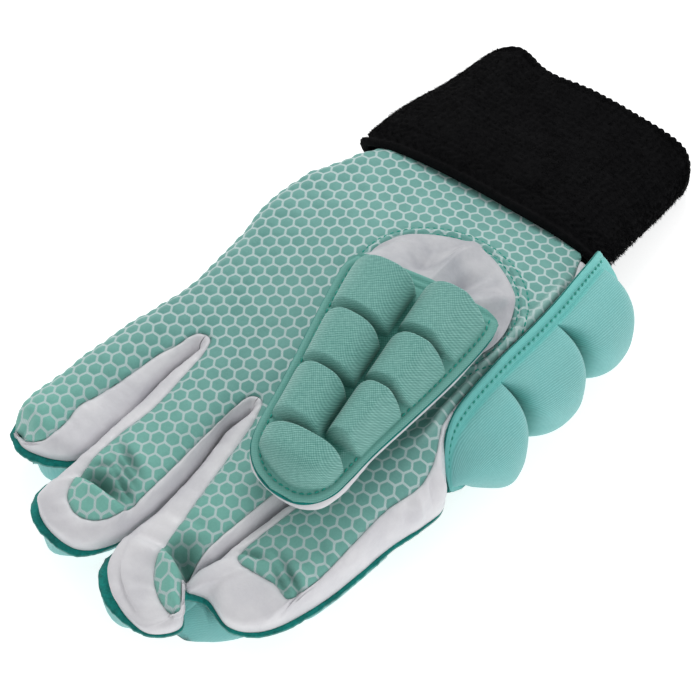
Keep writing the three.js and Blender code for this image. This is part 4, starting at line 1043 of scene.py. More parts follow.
fingerLobes = {  # lean and shift of the tip's lobe; tuck at the tip: from the left, from the right, how long
    "pinky": {"lobes": [[-88.6, -75.5], [-73.5, -56.5], [-54, -34]],
              "lean": 0, "shift": 1.5, "tuck": [8, 0, 18]},
    "ring": {"lobes": [[-108, -86], [-83.5, -62.5], [-60, -38]],
             "lean": 1.2, "shift": -1, "tuck": [0, 4, 18]},
    "middle": {"lobes": [[-114.5, -92.5], [-90, -67.5], [-65, -42]],
               "lean": 0.5, "shift": -8.5, "tuck": [0, 0, 18]},
    "index": {"lobes": [[-94, -77.5], [-75, -59.5], [-57, -41.5]],
              "lean": 12, "shift": -6, "tuck": [0, 10, 26]},
}


def hangingPad(name, rows, columns, acrossAt, rowSpans, columnSpans, node, lean=0, shift=0, flap=False):
    y, side = gridPlaces(rows, columns)
    x = acrossAt(y, side)
    lobe = loafHeight(spanOf(y, rowSpans), spanOf(side, columnSpans))
    drop = foam["margin"] + (foam["top"] - foam["margin"]) * np.minimum(1, foam["pressed"] * lobe)
    last = lobe * (y < rowSpans[0][1])  # the lobe at the tip leans out
    under = np.stack([x + shift * last, y - lean * last, foam["top"] - drop], -1).reshape(-1, 3)
    above = np.stack([x, y, np.full(x.shape, foam["top"])], -1).reshape(-1, 3)
    rim = gridRim(*x.shape)
    points = np.concatenate([under, above[rim]])
    if flap:
        share = flapShare(points[:, 0], points[:, 1]) * np.clip(points[:, 2] / foam["top"], 0, 1) ** 2
        points[:, 2] += indexFlap["lift"] * share
        points[:, :2] += share[:, None] * indexFlap["reach"]
    faces = gridFaces(*x.shape, flip=True) + skirtFaces(rim, len(under))
    place = np.stack([x + 0.4 * drop, y + 0.9 * drop, 0 * x], -1).reshape(-1, 3)
    place = np.concatenate([place, place[rim]])
    makePiece(name, points, faces, fingerKnit, node, {"knitPlace": place})


def sideOf(points, way):  # reads x from y along one side of an outline, leaving out what turns back
    kept = [points[0]]
    for point in points[1:]:
        if (point[1] - kept[-1][1]) * way > 0.5:
            kept.append(point)
    return smoothColumn([{"y": y, "x": x} for x, y in kept], "y", "x")


def buildFingerPad(name):
    shape = fingerLobes[name]
    outline = backingOutline(fingerOutlines[name], foam["inset"])
    tip = int(outline[:, 1].argmin())
    tipY = float(outline[tip, 1])
    left = sideOf(outline[:tip], -1)
    right = sideOf(outline[tip + 1:], 1)
    spans = [[max(low, tipY + 1), high] for low, high in shape["lobes"]]

    def acrossAt(y, side):
        closing = np.minimum(1, np.sqrt(np.maximum(0.08, (y - tipY) / 9)))
        tipward = 1 - smoothstep(y, tipY + 3, tipY + shape["tuck"][2])
        near = left(y) + shape["tuck"][0] * tipward
        far = right(y) - shape["tuck"][1] * tipward
        centre = (near + far) / 2
        return centre + (np.where(side < 0, near, far) - centre) * np.abs(side) * closing

    rows = lobeLines(tipY + 0.6, spans, min(outline[0, 1], outline[-1, 1]) - 3, 18)
    columns = np.concatenate([[-1], 0.9 * crowded(24), [1]])
    hangingPad(f"{name}Foam", rows, columns, acrossAt, spans, [[-0.9, 0.9]], f"{name}_pad", shape["lean"],
               shape["shift"], name == "index")


for finger in fingers:
    buildFingerPad(finger)

handBack = {"columns": [[-60, -32], [-29, -1], [2, 30]], "rows": [[-20, 5], [8, 33], [36, 61]],
            "low": -23, "high": 76.5}
handRows = lobeLines(handBack["low"] + 2, handBack["rows"], handBack["rows"][-1][1] + 3, 18)
handColumns = lobeLines(handBack["columns"][0][0] - 2.5, handBack["columns"],
                        handBack["columns"][-1][1] + 2.5, 18)
hangingPad("handFoam", handRows, handColumns, lambda y, x: x, handBack["rows"], handBack["columns"],
           "hand_pad")
print("finger and hand foam built")


# Side pad
sideTop = readTable(["y", "x", "z"], [
    [-9.9, 54.2, 18.6],
    [-8.2, 50.5, 26],
    [-2.2, 45.4, 34.3],
    [5.5, 42.1, 37.6],
    [16, 41.1, 39.2],
    [31, 40.7, 39.8],
    [47, 40.7, 39.4],
    [62, 40, 38.6],
    [75, 38.2, 36.6],
    [85, 36.4, 33.6],
    [91, 34.6, 30.4],
])
sideProfile = readTable(["down", "out", "drop"], [
    [0, 0, 0], [6, 4.2, 4.3], [14, 8.2, 11.2], [24, 10.4, 21], [33, 9.6, 30], [40, 6.6, 36.2]])
sidePad = {
    "start": -9.7,        # along the hand, from the index finger to the cuff
    "end": 91,
    "wide": 40,           # from its seam at the palm down to its foot
    "thick": 1.6,
    "film": 0.8,
    "lobes": [[-9.2, 25], [25.4, 55.2], [55.6, 86]],
    "margin": 5.2,        # the lobes lie between these two, down the pad
    "low": 37,
    "lobeHeight": 13.6,
    "sag": 2.7,
    "foot": 4,
    "footRise": 9,
    "recede": [[3.2, 5, 26], [3, 20, 40], [4.5, 30, 40]],  # at the index finger: how much, between which two
    "recedeLong": 34,
    "stitchInset": 2.7,
    "stitchDent": 0.5,
}
sideTopX = smoothColumn(sideTop, "y", "x")
sideTopZ = smoothColumn(sideTop, "y", "z")
sideOut = smoothColumn(sideProfile, "down", "out")
sideDrop = smoothColumn(sideProfile, "down", "drop")


def sidePoint(y, down, off, receding=0):  # off: distance out from the pad's face
    def place(at):
        top = sideTopZ(y)
        squeeze = smoothstep(y, -11.5, 9)
        foot = sidePad["foot"] + sidePad["footRise"] * (1 - smoothstep(y, -10, 10))
        share = sideDrop(at) / sideProfile[-1]["drop"]
        return sideTopX(y) + sideOut(at) * squeeze, top - share * (top - foot)
    ax, az = place(np.minimum(down + 0.5, sidePad["wide"]))
    bx, bz = place(np.maximum(down - 0.5, 0))
    reach = np.maximum(np.hypot(ax - bx, az - bz), 1e-6)
    tx, tz = (ax - bx) / reach, (az - bz) / reach
    x, z = place(down)
    return np.stack([x - tz * off, y + receding + 0 * x, np.maximum(0.2, z + tx * off)], -1)


def sideReceding(y, down):  # the pad's end at the index finger rounds off below its rim
    most = sum(amount * smoothstep(down, start, end) for amount, start, end in sidePad["recede"])
    return most * (1 - smoothstep(y, sidePad["start"], sidePad["start"] + sidePad["recedeLong"]))


def sideLobeHeight(y, down):
    u = spanOf(y, sidePad["lobes"])
    v = spanOf(down, [[sidePad["margin"], sidePad["low"]]])
    outward = smoothstep(v, -0.9, 0.25)
    square = np.where((y < sidePad["lobes"][0][1]) & (u < 0), 2.8, mix(7.0, 2.3, outward))
    width = np.abs(u) * (1 + 0.05 * outward)
    lobe = np.maximum(0, 1 - width ** square) ** 0.5 * np.maximum(0, 1 - np.abs(v) ** 2.2) ** 0.5
    return sidePad["lobeHeight"] * np.where((np.abs(u) < 1) & (np.abs(v) < 1), lobe, 0)


def buildSidePad():
    rows = lobeLines(sidePad["start"], sidePad["lobes"], sidePad["end"], 44)
    margin, low = sidePad["margin"], sidePad["low"]
    inside = (margin + low) / 2 + (low - margin) / 2 * crowded(60)
    columns = [np.linspace(0, margin, 14)[:-1], inside, np.linspace(low, sidePad["wide"], 5)[1:]]
    y, down = gridPlaces(rows, np.concatenate(columns))
    fromEdge = np.minimum(down, np.minimum(y - sidePad["start"], sidePad["end"] - y))
    off = sideLobeHeight(y, down) - 0.5 * (1 - smoothstep(fromEdge, 0, 1.0))
    off -= sidePad["stitchDent"] * np.exp(-((down - sidePad["stitchInset"]) / 0.6) ** 2)
    receding = sideReceding(y, down)
    top = sidePoint(y, down, off, receding)
    top[..., 2] -= sidePad["sag"] * np.clip(off / sidePad["lobeHeight"], 0, 1) * np.exp(-((y + 1) / 9) ** 2)
    top[..., 2] = np.maximum(top[..., 2], 0.2)
    points = top.reshape(-1, 3)
    rim = gridRim(*y.shape)
    under = sidePoint(y, down, -sidePad["thick"], receding).reshape(-1, 3)[rim]
    faces = gridFaces(*y.shape)
    faces += [(b, a, d, c) for a, b, c, d in skirtFaces(rim, len(points))]
    # painted shade: the grooves just past each lobe's end are darkened through the third value of knitPlace
    grooveShade = 0 * y
    for _, end in sidePad["lobes"][:2]:
        away = y - end - 0.2
        grooveShade = np.maximum(grooveShade, np.exp(-(away / np.where(away > 0, 2.4, 0.7)) ** 2))
    grooveShade = grooveShade * smoothstep(down, 5, 11) * (1 - smoothstep(down, 33, 39))
    plain = (1 - smoothstep(off, 0.2, 1.6)) * (1 - np.minimum(1, 4 * grooveShade))
    place = np.stack([y, down + 0.35 * off, plain - 0.9 * grooveShade], -1).reshape(-1, 3)
    piece = makePiece("sideFoam", np.concatenate([points, under]), faces, sideKnit, "side_pad",
                      {"knitPlace": np.concatenate([place, place[rim]])})


def buildSideFelt():
    rows = evenPlaces(sidePad["start"] - 0.4, sidePad["end"] + 0.3, 1.5)
    columns = np.linspace(-0.4, sidePad["wide"], 28)
    y, down = gridPlaces(rows, columns)
    near = sidePoint(y, down, -sidePad["thick"] - 0.15, sideReceding(y, down))
    near[..., 0] -= 0.25 * (down < 0.1)
    makePiece("sideFelt", near.reshape(-1, 3), gridFaces(*y.shape), feltMaterial, "side_backing",
              thickness=sidePad["film"])


buildSidePad()
buildSideFelt()
print("side pad built")


# Stitches
stitches = {  # distance from stitch to stitch, size of the thread that shows, and how deep it lies
    "hole": {"pitch": 2.5, "length": 1.8, "width": 0.65, "sink": 0.3},
    "side": {"pitch": 2.4, "length": 1.3, "width": 0.55, "sink": 0.1},
    "thumb": {"pitch": 2.5, "length": 1.75, "width": 0.65, "sink": 0.1},
}
stitchShape = {"rings": 6, "around": 8, "tilt": 0.16}


def sewRow(name, path, ups, kind):  # ups: the surface's outward direction at each point of the path
    arc = arcLength(path)
    count = max(2, int(arc[-1] / kind["pitch"]))
    rings, around = stitchShape["rings"], stitchShape["around"]
    points, faces = [], []

    def read(values, place):
        return np.array([np.interp(place, arc, values[:, k]) for k in range(3)])

    for n, s in enumerate((np.arange(count) + 0.5) * arc[-1] / count):
        centre = read(path, s)
        along = read(path, min(s + 0.4, arc[-1])) - read(path, max(s - 0.4, 0))
        along /= max(np.linalg.norm(along), 1e-6)
        up = read(ups, s)
        up = up - along * (up @ along)
        up /= max(np.linalg.norm(up), 1e-6)
        side = np.cross(up, along)
        lean = stitchShape["tilt"] * (1 if n % 2 else 0.4) + 0.1 * noise.noise(Vector((n * 0.7, 0, 0)))
        along = along * math.cos(lean) + side * math.sin(lean)
        side = np.cross(up, along)
        base = len(points)
        for i in range(rings + 1):
            angle = math.pi * i / rings
            thick = max(0.02, math.sin(angle) ** 0.6) * kind["width"] / 2
            bow = (math.sin(angle) - kind["sink"]) * kind["width"] * 0.5
            middle = centre - along * math.cos(angle) * kind["length"] / 2 + up * bow
            for j in range(around):
                turn = 2 * math.pi * j / around
                points.append(middle + thick * (up * math.sin(turn) + side * math.cos(turn)))
        faces += gridFaces(rings + 1, around, closed=True, start=base, flip=True)
        faces.append(tuple(base + j for j in range(around)))
        faces.append(tuple(base + rings * around + j for j in range(around))[::-1])
    makePiece(name, np.array(points), faces, threadMaterial)


def sewOnPalm(name, grow):
    path = holePath(grow, 400)
    x, y, _ = np.concatenate([path, path[:1]]).T
    step = 0.4
    ups = np.column_stack([palmHeight(x - step, y) - palmHeight(x + step, y),
                           palmHeight(x, y - step) - palmHeight(x, y + step), np.full(len(x), 2 * step)])
    sewRow(name, np.column_stack([x, y, palmHeight(x, y)]), ups, stitches["hole"])


sewOnPalm("innerHoleStitches", palmCloth["weltIn"])
sewOnPalm("outerHoleStitches", palmCloth["weltOut"])

sideStitchY = evenPlaces(sidePad["start"] + sidePad["stitchInset"] - 0.6, 88.5, 0.5)
sideStitchDown = np.full(len(sideStitchY), sidePad["stitchInset"])
sideStitchBack = sideReceding(sideStitchY, sideStitchDown)
onPad, offPad = [sidePoint(sideStitchY, sideStitchDown, off, sideStitchBack) for off in (-0.35, 0.65)]
sewRow("sideStitches", onPad, offPad - onPad, stitches["side"])
print("stitches built")


# Thumb
thumb = {
    "foot": np.array([8, 30.4, 52]),    # middle of its base
    "lean": 0.17,                       # to the thumb side, down to the tip, and about its own length
    "slope": -0.06,
    "roll": 5,
    "start": -3,                        # along the thumb from its base
    "end": 90.3,
    "spacing": 0.6,
    "pad": 1.6,                         # thickness of the pad's rim and of the cloths
    "cloth": 0.9,
    "lobeHeight": 12.8,
    "slant": 3.2,
    "stitchInset": 2.7,
    "stitchDent": 0.45,
}
thumbOutline = readTable(["reach", "left", "right"], [
    [-3, 22, 21],
    [-1, 26, 26.5],
    [7, 28, 27.2],
    [25, 26.5, 24.6],
    [45, 24.0, 20.2],
    [62, 22.2, 16.2],
    [73, 21.2, 14.4],
    [81, 19.0, 12.6],
    [87, 13.6, 8.8],
    [90.3, 6, 3],
])
thumbLobes = [  # each lobe's reach along the thumb and its share of the width
    {"along": [2.6, 24.8], "across": [-0.88, -0.06], "kind": "left"},
    {"along": [26.6, 46.8], "across": [-0.88, -0.05], "kind": "left"},
    {"along": [48.6, 69.2], "across": [-0.88, -0.04], "kind": "left"},
    {"along": [0.2, 20.8], "across": [0.0, 0.87], "kind": "right"},
    {"along": [22.6, 42.4], "across": [0.0, 0.88], "kind": "right"},
    {"along": [44.2, 66.7], "across": [-0.01, 0.88], "kind": "right"},
    {"along": [70.8, 86.6], "across": [-0.86, 0.8], "kind": "tip"},
]
thumbShell = {"inset": 0.9, "seam": 4.6, "depth": 12, "band": 9.5, "start": 16, "end": 88}  # under the pad
thumbAhead = math.sqrt(1 - thumb["lean"] ** 2 - thumb["slope"] ** 2)
thumbReach = np.array([thumb["lean"], -thumbAhead, thumb["slope"]])
thumbLevel = np.cross([0, 0, 1], thumbReach)
thumbLevel /= np.linalg.norm(thumbLevel)
thumbRoll = Matrix.Rotation(-math.radians(thumb["roll"]), 3, Vector(thumbReach))
thumbSide = np.array(thumbRoll @ Vector(thumbLevel))
thumbUp = np.cross(thumbReach, thumbSide)
thumbUp /= np.linalg.norm(thumbUp)
thumbLeft = smoothColumn(thumbOutline, "reach", "left")
thumbRight = smoothColumn(thumbOutline, "reach", "right")


def thumbPoint(reach, side, up):
    reach, side, up = [value[..., None] for value in np.broadcast_arrays(reach, side, up)]
    return thumb["foot"] + reach * thumbReach + side * thumbSide + up * thumbUp


def thumbSlant(reach, side):  # the base runs a little askew
    return thumb["slant"] * np.clip(-side / 25, 0, 1) * (1 - smoothstep(reach, thumb["start"], 14))


def thumbRim(inset):  # outline of the thumb's pad, from the base's left corner round the tip and back
    rows = [{"reach": row["reach"], "side": -row["left"]} for row in thumbOutline[1:]]
    rows += [{"reach": row["reach"], "side": row["right"]} for row in thumbOutline[:0:-1]]
    path = alongRows(rows, 12)
    nx, ny = planNormals(path["side"], path["reach"])
    reach, side = path["reach"] + ny * inset, path["side"] + nx * inset
    return reach + thumbSlant(reach, side), side


def thumbGrid():  # rows and columns of the pad's grid, close together at the ends of each lobe
    rows = [thumb["start"], thumb["end"]]
    rows += list(np.arange(thumb["start"] + 0.3, thumb["end"] - 0.1, thumb["spacing"]))
    close = 2.6 * np.linspace(0, 1, 16) ** 2.4
    for lobe in thumbLobes:
        rows += list(lobe["along"][0] + close) + list(lobe["along"][1] - close)
    rows = np.unique(np.round(rows, 2))
    rows = rows[np.concatenate([[True], np.diff(rows) > 0.03])]
    columns = [np.linspace(-1, -0.88, 14)[:-1], -0.465 + 0.415 * crowded(40), [-0.03],
               0.435 + 0.445 * crowded(40), np.linspace(0.88, 1, 14)[1:]]
    return gridPlaces(rows, np.concatenate(columns))


def thumbLobeHeight(reach, place):
    height = np.zeros(reach.shape)
    for lobe in thumbLobes:
        u = spanOf(reach, [lobe["along"]])
        v = spanOf(place, [lobe["across"]])
        near = reach - lobe["along"][0] - 2.4 * np.abs(v) ** 4
        far = lobe["along"][1] - 1.2 * np.abs(v) ** 4 - reach
        arch = np.maximum(0, 1 - np.abs(v) ** 2.4) ** 0.5
        if lobe["kind"] == "tip":  # slopes down to the tip
            ahead = np.clip(u, 0, 1)
            width = np.abs(v) * (1 + 0.18 * ahead ** 2)
            rise = np.maximum(0, 1 - ahead ** 2.2 - width ** 2.3) ** 0.5 * endRise(near, 1.8)
        else:
            if lobe["kind"] == "right":  # its outer side is one long slope
                slope = np.clip((v - 0.2) / 0.8, 0, 1)
                arch = np.where(v > 0.2, 0.99 * (1 - slope ** 1.35), arch)
            rise = arch * (1 - 0.05 * u) * endRise(near, 1.8) * endRise(far, 2.2)
        height = np.where((np.abs(u) < 1) & (np.abs(v) < 1), rise * thumb["lobeHeight"], height)
    return height


def buildThumbPad():
    reach, place = thumbGrid()
    side = np.where(place < 0, place * thumbLeft(reach), place * thumbRight(reach))
    height = thumbLobeHeight(reach, place)
    rimReach, rimSide = thumbRim(0)
    outline = flatPoints(rimSide, rimReach - thumbSlant(rimReach, rimSide))
    edge = nearestOn(outline, side.ravel(), reach.ravel())[0].reshape(side.shape)
    dent = thumb["stitchDent"] * np.exp(-((edge - thumb["stitchInset"]) / 0.6) ** 2) * (height < 0.3)
    up = height - dent - 0.6 * (1 - smoothstep(edge, 0, 1.1))
    slanted = reach + thumbSlant(reach, side)
    rim = gridRim(*reach.shape)
    top = thumbPoint(slanted, side, up).reshape(-1, 3)
    low = thumbPoint(slanted, side, -thumb["pad"]).reshape(-1, 3)[rim]
    faces = gridFaces(*reach.shape, flip=True) + skirtFaces(rim, len(top))
    # painted shade: the low grooves between the lobes, away from the rim, are darkened through the third
    # value of knitPlace
    grooveShade = (1 - smoothstep(height, 0, 7)) * smoothstep(edge, 5.5, 9)
    plain = (1 - smoothstep(height, 0.2, 1.6)) * (1 - grooveShade) - 0.85 * grooveShade
    knit = np.stack([side + 0.3 * height, reach - 0.8 * height, plain], -1).reshape(-1, 3)
    piece = makePiece("thumbFoam", np.concatenate([top, low]), faces, thumbKnit, "thumb_pad",
                      {"knitPlace": np.concatenate([knit, knit[rim]])})
    path = thumbPoint(*thumbRim(thumb["stitchInset"]), -thumb["stitchDent"] * 0.8)
    sewRow("thumbStitches", path, np.tile(thumbUp, (len(path), 1)), stitches["thumb"])


def buildThumbFelt():
    reach, side = thumbRim(-0.35)
    found, faces = triangulate([np.column_stack([side, reach])], 2.5, (-32, -8, 32, 96))
    points = thumbPoint(found[:, 1], found[:, 0], -thumb["pad"] - 0.1)
    makePiece("thumbFelt", points, [face[::-1] for face in faces], feltMaterial, "thumb_backing",
              thickness=thumb["cloth"])


def thumbWay(inset):  # the thumb's outline from its left side round the tip to its right side
    band = thumbShell["band"]
    rows = [row for row in thumbOutline if row["reach"] > band]
    sides = [{"reach": band, "left": float(thumbLeft(band)), "right": float(thumbRight(band))}] + rows[:-1]
    tip = rows[-1]["reach"] - inset * 0.9
    path = [(min(row["reach"], tip), inset - row["left"]) for row in sides] + [(tip, -1.5)]
    path += [(min(row["reach"], tip), row["right"] - inset) for row in sides[::-1]]
    return alongRows([{"reach": reach, "side": side} for reach, side in path], 12)


def buildThumbWhite():
    way = thumbWay(0.8)
    nx, ny = planNormals(way["side"], way["reach"])
    arc = arcLength(np.column_stack([way["side"], way["reach"]]))
    bulge = mix(0.35, 1.2, smoothstep(way["reach"], 60, 82)) * smoothstep(way["side"], -14, 8)
    bulge = (0.1 + bulge) * smoothstep(way["reach"], thumbShell["band"], 24)
    rows = []
    for t in np.linspace(0, 1, 13):
        field = flatPoints(arc, np.full(len(arc), t * 4))
        out = bulge * math.sin(math.pi * min(1, t * 1.1)) ** 0.8 * (1 + 0.35 * noiseAt(field, 7, 2.7))
        up = mix(-thumb["pad"] - 0.9, -thumbShell["seam"] - 0.1, t)
        rows.append(thumbPoint(way["reach"] - ny * out, way["side"] - nx * out, up))
    makePiece("thumbWhite", np.concatenate(rows), gridFaces(len(rows), len(arc)), leatherMaterial,
              "thumb_gusset", thickness=thumb["cloth"])


def buildThumbFront():
    end = thumbShell["end"]
    rows = evenPlaces(thumbShell["start"], end, 1.2)
    columns = crowded(61)
    reach, place = gridPlaces(rows, columns)
    closing = np.sqrt(np.maximum(0.02, 1 - np.maximum(0, (reach - 68) / (end - 68)) ** 2))
    half = np.where(place < 0, thumbLeft(reach), thumbRight(reach)) - thumbShell["inset"] + 0.5
    bowl = np.sqrt(np.maximum(0, 1 - np.abs(place) ** 4)) * closing
    up = mix(-thumbShell["seam"] - 0.1, -thumbShell["depth"], bowl)
    points = thumbPoint(reach, place * half, up).reshape(-1, 3)
    points = points + 0.3 * noiseAt(points, 7, 1.9)[:, None] * thumbUp
    around = np.array([arcLength(row) for row in points.reshape(len(rows), -1, 3)])
    around -= around[:, [30]]
    prints = np.stack([around, reach, 0 * reach], -1).reshape(-1, 3)
    makePiece("thumbFront", points, gridFaces(*reach.shape), printedMaterial, "thumb_front",
              {"printPlace": prints}, thickness=thumb["cloth"])


thumbRootRows = readTable(["angle", "reach", "side", "up", "puff"], [
    [215, 17, -25.4, -5, 0.5],
    [200, 9, -25.8, -2.7, 1.5],
    [180, 1, -23.5, -2.7, 2],
    [150, -1.6, -14, -2.7, 2.2],
    [90, -1.8, 0, -2.7, 2.4],
    [30, -1.6, 14, -2.7, 2.2],
    [0, 1, 22.8, -2.7, 2],
    [-20, 9, 24.8, -2.7, 1.5],
    [-38, 17, 24, -5, 0.5],
    [-48, 17, 22.4, -9.2, 0],
    [-65, 17, 12, -11.7, 0],
    [-90, 17, 0, -11.9, 0],
    [-115, 17, -12, -11.7, 0],
    [-134, 17, -23.4, -9.2, 0],
])
rootFolds = readTable(["angle", "rise", "halfAngle", "halfRise", "depth"], [  # soft folds of the drape
    [122, 0.55, 14, 0.32, -4.2],
    [96, 0.45, 6, 0.55, 3.0],
    [66, 0.58, 12, 0.36, -5.2],
    [38, 0.45, 8, 0.45, 1.8],
    [16, 0.58, 9, 0.3, -2.6],
    [152, 0.45, 10, 0.25, 1.2],
])


def rootPuff(angle, puff, t):  # how far the drape stands out, round its opening, at a share t of the way up
    bow = math.sin(math.pi * t)
    puff = puff * (bow * 0.8 + 0.7 * math.exp(-((t - 0.1) / 0.08) ** 2) * (t > 0))
    for fold in rootFolds:
        away = (angle - fold["angle"] + 180) % 360 - 180
        high = ((t - fold["rise"]) / fold["halfRise"]) ** 2
        puff = puff + fold["depth"] * np.exp(-(away / fold["halfAngle"]) ** 2 - high) * bow ** 0.5
    return puff


def buildThumbRoot():
    ring = alongRows(thumbRootRows + [dict(thumbRootRows[0], angle=thumbRootRows[0]["angle"] - 360)], 16)
    ring = {name: values[:-1] for name, values in ring.items()}
    turn = np.radians(ring["angle"])
    around = len(turn)
    rise = 36
    rimX, rimY, _ = holePath(-0.25, turn=turn).T
    low = np.column_stack([rimX, rimY, palmHeight(rimX, rimY) - 0.3])
    high = thumbPoint(ring["reach"], ring["side"], ring["up"])
    out = np.column_stack([np.cos(turn), np.sin(turn), np.full(around, 0.9)])
    rows = []
    for t in np.arange(rise + 1) / rise:
        row = low + (high - low) * t
        wobble = 0.35 * noiseAt(row, 6, 4.9) * math.sin(math.pi * t)
        rows.append(row + out * (rootPuff(ring["angle"], ring["puff"], t) + wobble)[:, None])
    faces = gridFaces(len(rows), around, closed=True, flip=True)
    makePiece("thumbRoot", np.concatenate(rows), faces, shadedRootMaterial, "thumb_root", thickness=thumb["cloth"])


buildThumbPad()
buildThumbFelt()
buildThumbWhite()
buildThumbFront()
buildThumbRoot()
print("thumb built")


# Back of the hand
leftEdge = evenPlaces(handBack["high"], handBack["low"], 2)
leftLine = np.column_stack([ulnarEdge(leftEdge) - 0.5, leftEdge])
crotches = np.array([[way["edgeX"][-1], way["edgeY"][-1] + 1.6] for way in fingerWays.values()])
rightEdge = evenPlaces(1, handBack["high"], 2)
footLine = sidePoint(rightEdge, np.full(len(rightEdge), 24.8), np.zeros(len(rightEdge)))
rightLine = np.column_stack([footLine[:, 0] - sidePad["thick"] - sidePad["film"] - 1.8, rightEdge])
handOutline = np.concatenate([leftLine, crotches, rightLine])
buildFelt("handFelt", handOutline, "hand_backing")
print("back of the hand built")


# Cuff
cuffRows = readTable(["along", "centre", "half", "low", "high"], [
    [0, -13.4, 48.6, 8, 27.8],
    [0.12, -13.6, 49, 6.5, 28.6],
    [0.35, -13.8, 48.4, 4, 27],
    [0.7, -12.6, 46.4, 1.6, 22.5],
    [1, -12, 45, 0, 20.5],
])
cuffNear = readTable(["x", "y"], [
    [-63, 77.6], [-56, 78.6], [-48, 80.6], [-36, 82.6], [-20, 84.8], [0, 87.2], [20, 89.8], [36, 90.8]])
cuffFar = readTable(["x", "y"], [
    [-57, 145], [-46, 146.4], [-32, 143.6], [-14, 147.2], [6, 149.6], [20, 151], [36, 150]])
cuffShape = {
    "around": 420,
    "length": 66.0,
    "corner": 11,
    "wide": 0.92,          # the tube's roundness across and up
    "tall": 0.82,
    "knit": 2.6,           # thickness
    "loop": 0.5,
    "scallop": 2.9,
    "scallopHigh": 0.9,
    "chevronAt": 5.5,      # middle of the band with chevrons, from the palm
    "chevronHalf": 4.0,
    "bandEnd": 9.5,
    "fibres": 30000,
    "fibreLength": 0.95,
    "fibreHalf": 0.13,
}
# Steps over the free edge and over the edge at the palm: how far out, and how far beyond the tube's end
cuffRim = [(0.1, 0.5), (-0.6, 0.95), (-1.3, 1.1), (-2.0, 0.95), (-2.6, 0.4)]
cuffMouth = [(-2.2, -0.5), (-1.3, -0.8), (-0.3, -0.6)]
cuffColumns = {name: smoothColumn(cuffRows, "along", name) for name in ["centre", "half", "low", "high"]}
cuffNearY = smoothColumn(cuffNear, "x", "y")
cuffFarY = smoothColumn(cuffFar, "x", "y")


def cuffPoint(along, turn, out):
    half, centre = cuffColumns["half"](along), cuffColumns["centre"](along)
    low, high = cuffColumns["low"](along), cuffColumns["high"](along)
    cosine, sine = np.cos(turn), np.sin(turn)
    x = centre + (half + out) * np.sign(cosine) * np.abs(cosine) ** cuffShape["wide"]
    z = (low + high) / 2 + ((high - low) / 2 + out) * np.sign(sine) * np.abs(sine) ** cuffShape["tall"]
    beyond = np.maximum(0, np.abs(x - centre) - (half - cuffShape["corner"])) / cuffShape["corner"]
    corner = cuffShape["corner"] * (1 - np.sqrt(np.maximum(0, 1 - np.minimum(beyond, 1) ** 2)))
    y = mix(cuffNearY(x), cuffFarY(x) - corner, along)
    return np.stack(np.broadcast_arrays(x, y, np.maximum(z, 0.3)), -1)


def buildCuff():
    around = cuffShape["around"]
    turn = np.linspace(0, 2 * np.pi, around, endpoint=False)
    ringArc = arcLength(cuffPoint(0.5, turn, 0.0))
    rows = []
    for along in np.linspace(0, 1, 84):
        base = cuffPoint(along, turn, 0.0)
        mm = along * cuffShape["length"]
        loops = cuffShape["loop"] * noiseAt(base, 1.5, 2.0) + 0.45 * noiseAt(base, 4.5, 7.0)
        ribs = 0.18 * np.sin(2 * np.pi * ringArc / cuffShape["scallop"] + 1.5 * noiseAt(base, 12, 1.0))
        ribs += 0.16 * np.sin(2 * np.pi * mm / 2.6 + 2.0 * noiseAt(base, 9, 3.0))
        away = mm - cuffShape["chevronAt"]
        band = math.exp(-(away / cuffShape["chevronHalf"]) ** 4)
        chevron = np.sin(2 * np.pi * (ringArc / 3.6 + abs(away) / 3.2))
        hem = 0.9 * math.exp(-((mm - 1.0) / 1.1) ** 2) - 0.9 * math.exp(-((mm - 2.8) / 0.7) ** 2)
        hem -= 0.5 * math.exp(-((mm - cuffShape["bandEnd"]) / 0.8) ** 2)
        out = loops * (1 - 0.5 * band) + ribs * (1 - band) + 0.45 * chevron * band + hem
        rows.append(cuffPoint(along, turn, out))
    fray = 0.2 * noiseAt(rows[-1], 1.5, 4.0)
    scallop = cuffShape["scallopHigh"] * np.abs(np.sin(np.pi * ringArc / cuffShape["scallop"]))
    for out, beyond in cuffRim:
        rows.append(cuffPoint(1.0, turn, out + fray))
        rows[-1][:, 1] += beyond + scallop
    rows += [cuffPoint(along, turn, -cuffShape["knit"]) for along in np.linspace(1, 0, 24)]
    for out, beyond in cuffMouth:
        rows.append(cuffPoint(0.0, turn, out))
        rows[-1][:, 1] += beyond
    points = np.concatenate(rows)
    faces = gridFaces(len(rows) + 1, around, closed=True, flip=True)  # the last row joins the first
    faces = [tuple(corner % len(points) for corner in face) for face in faces]
    makePiece("cuffBody", points, faces, cuffMaterial, "cuff")


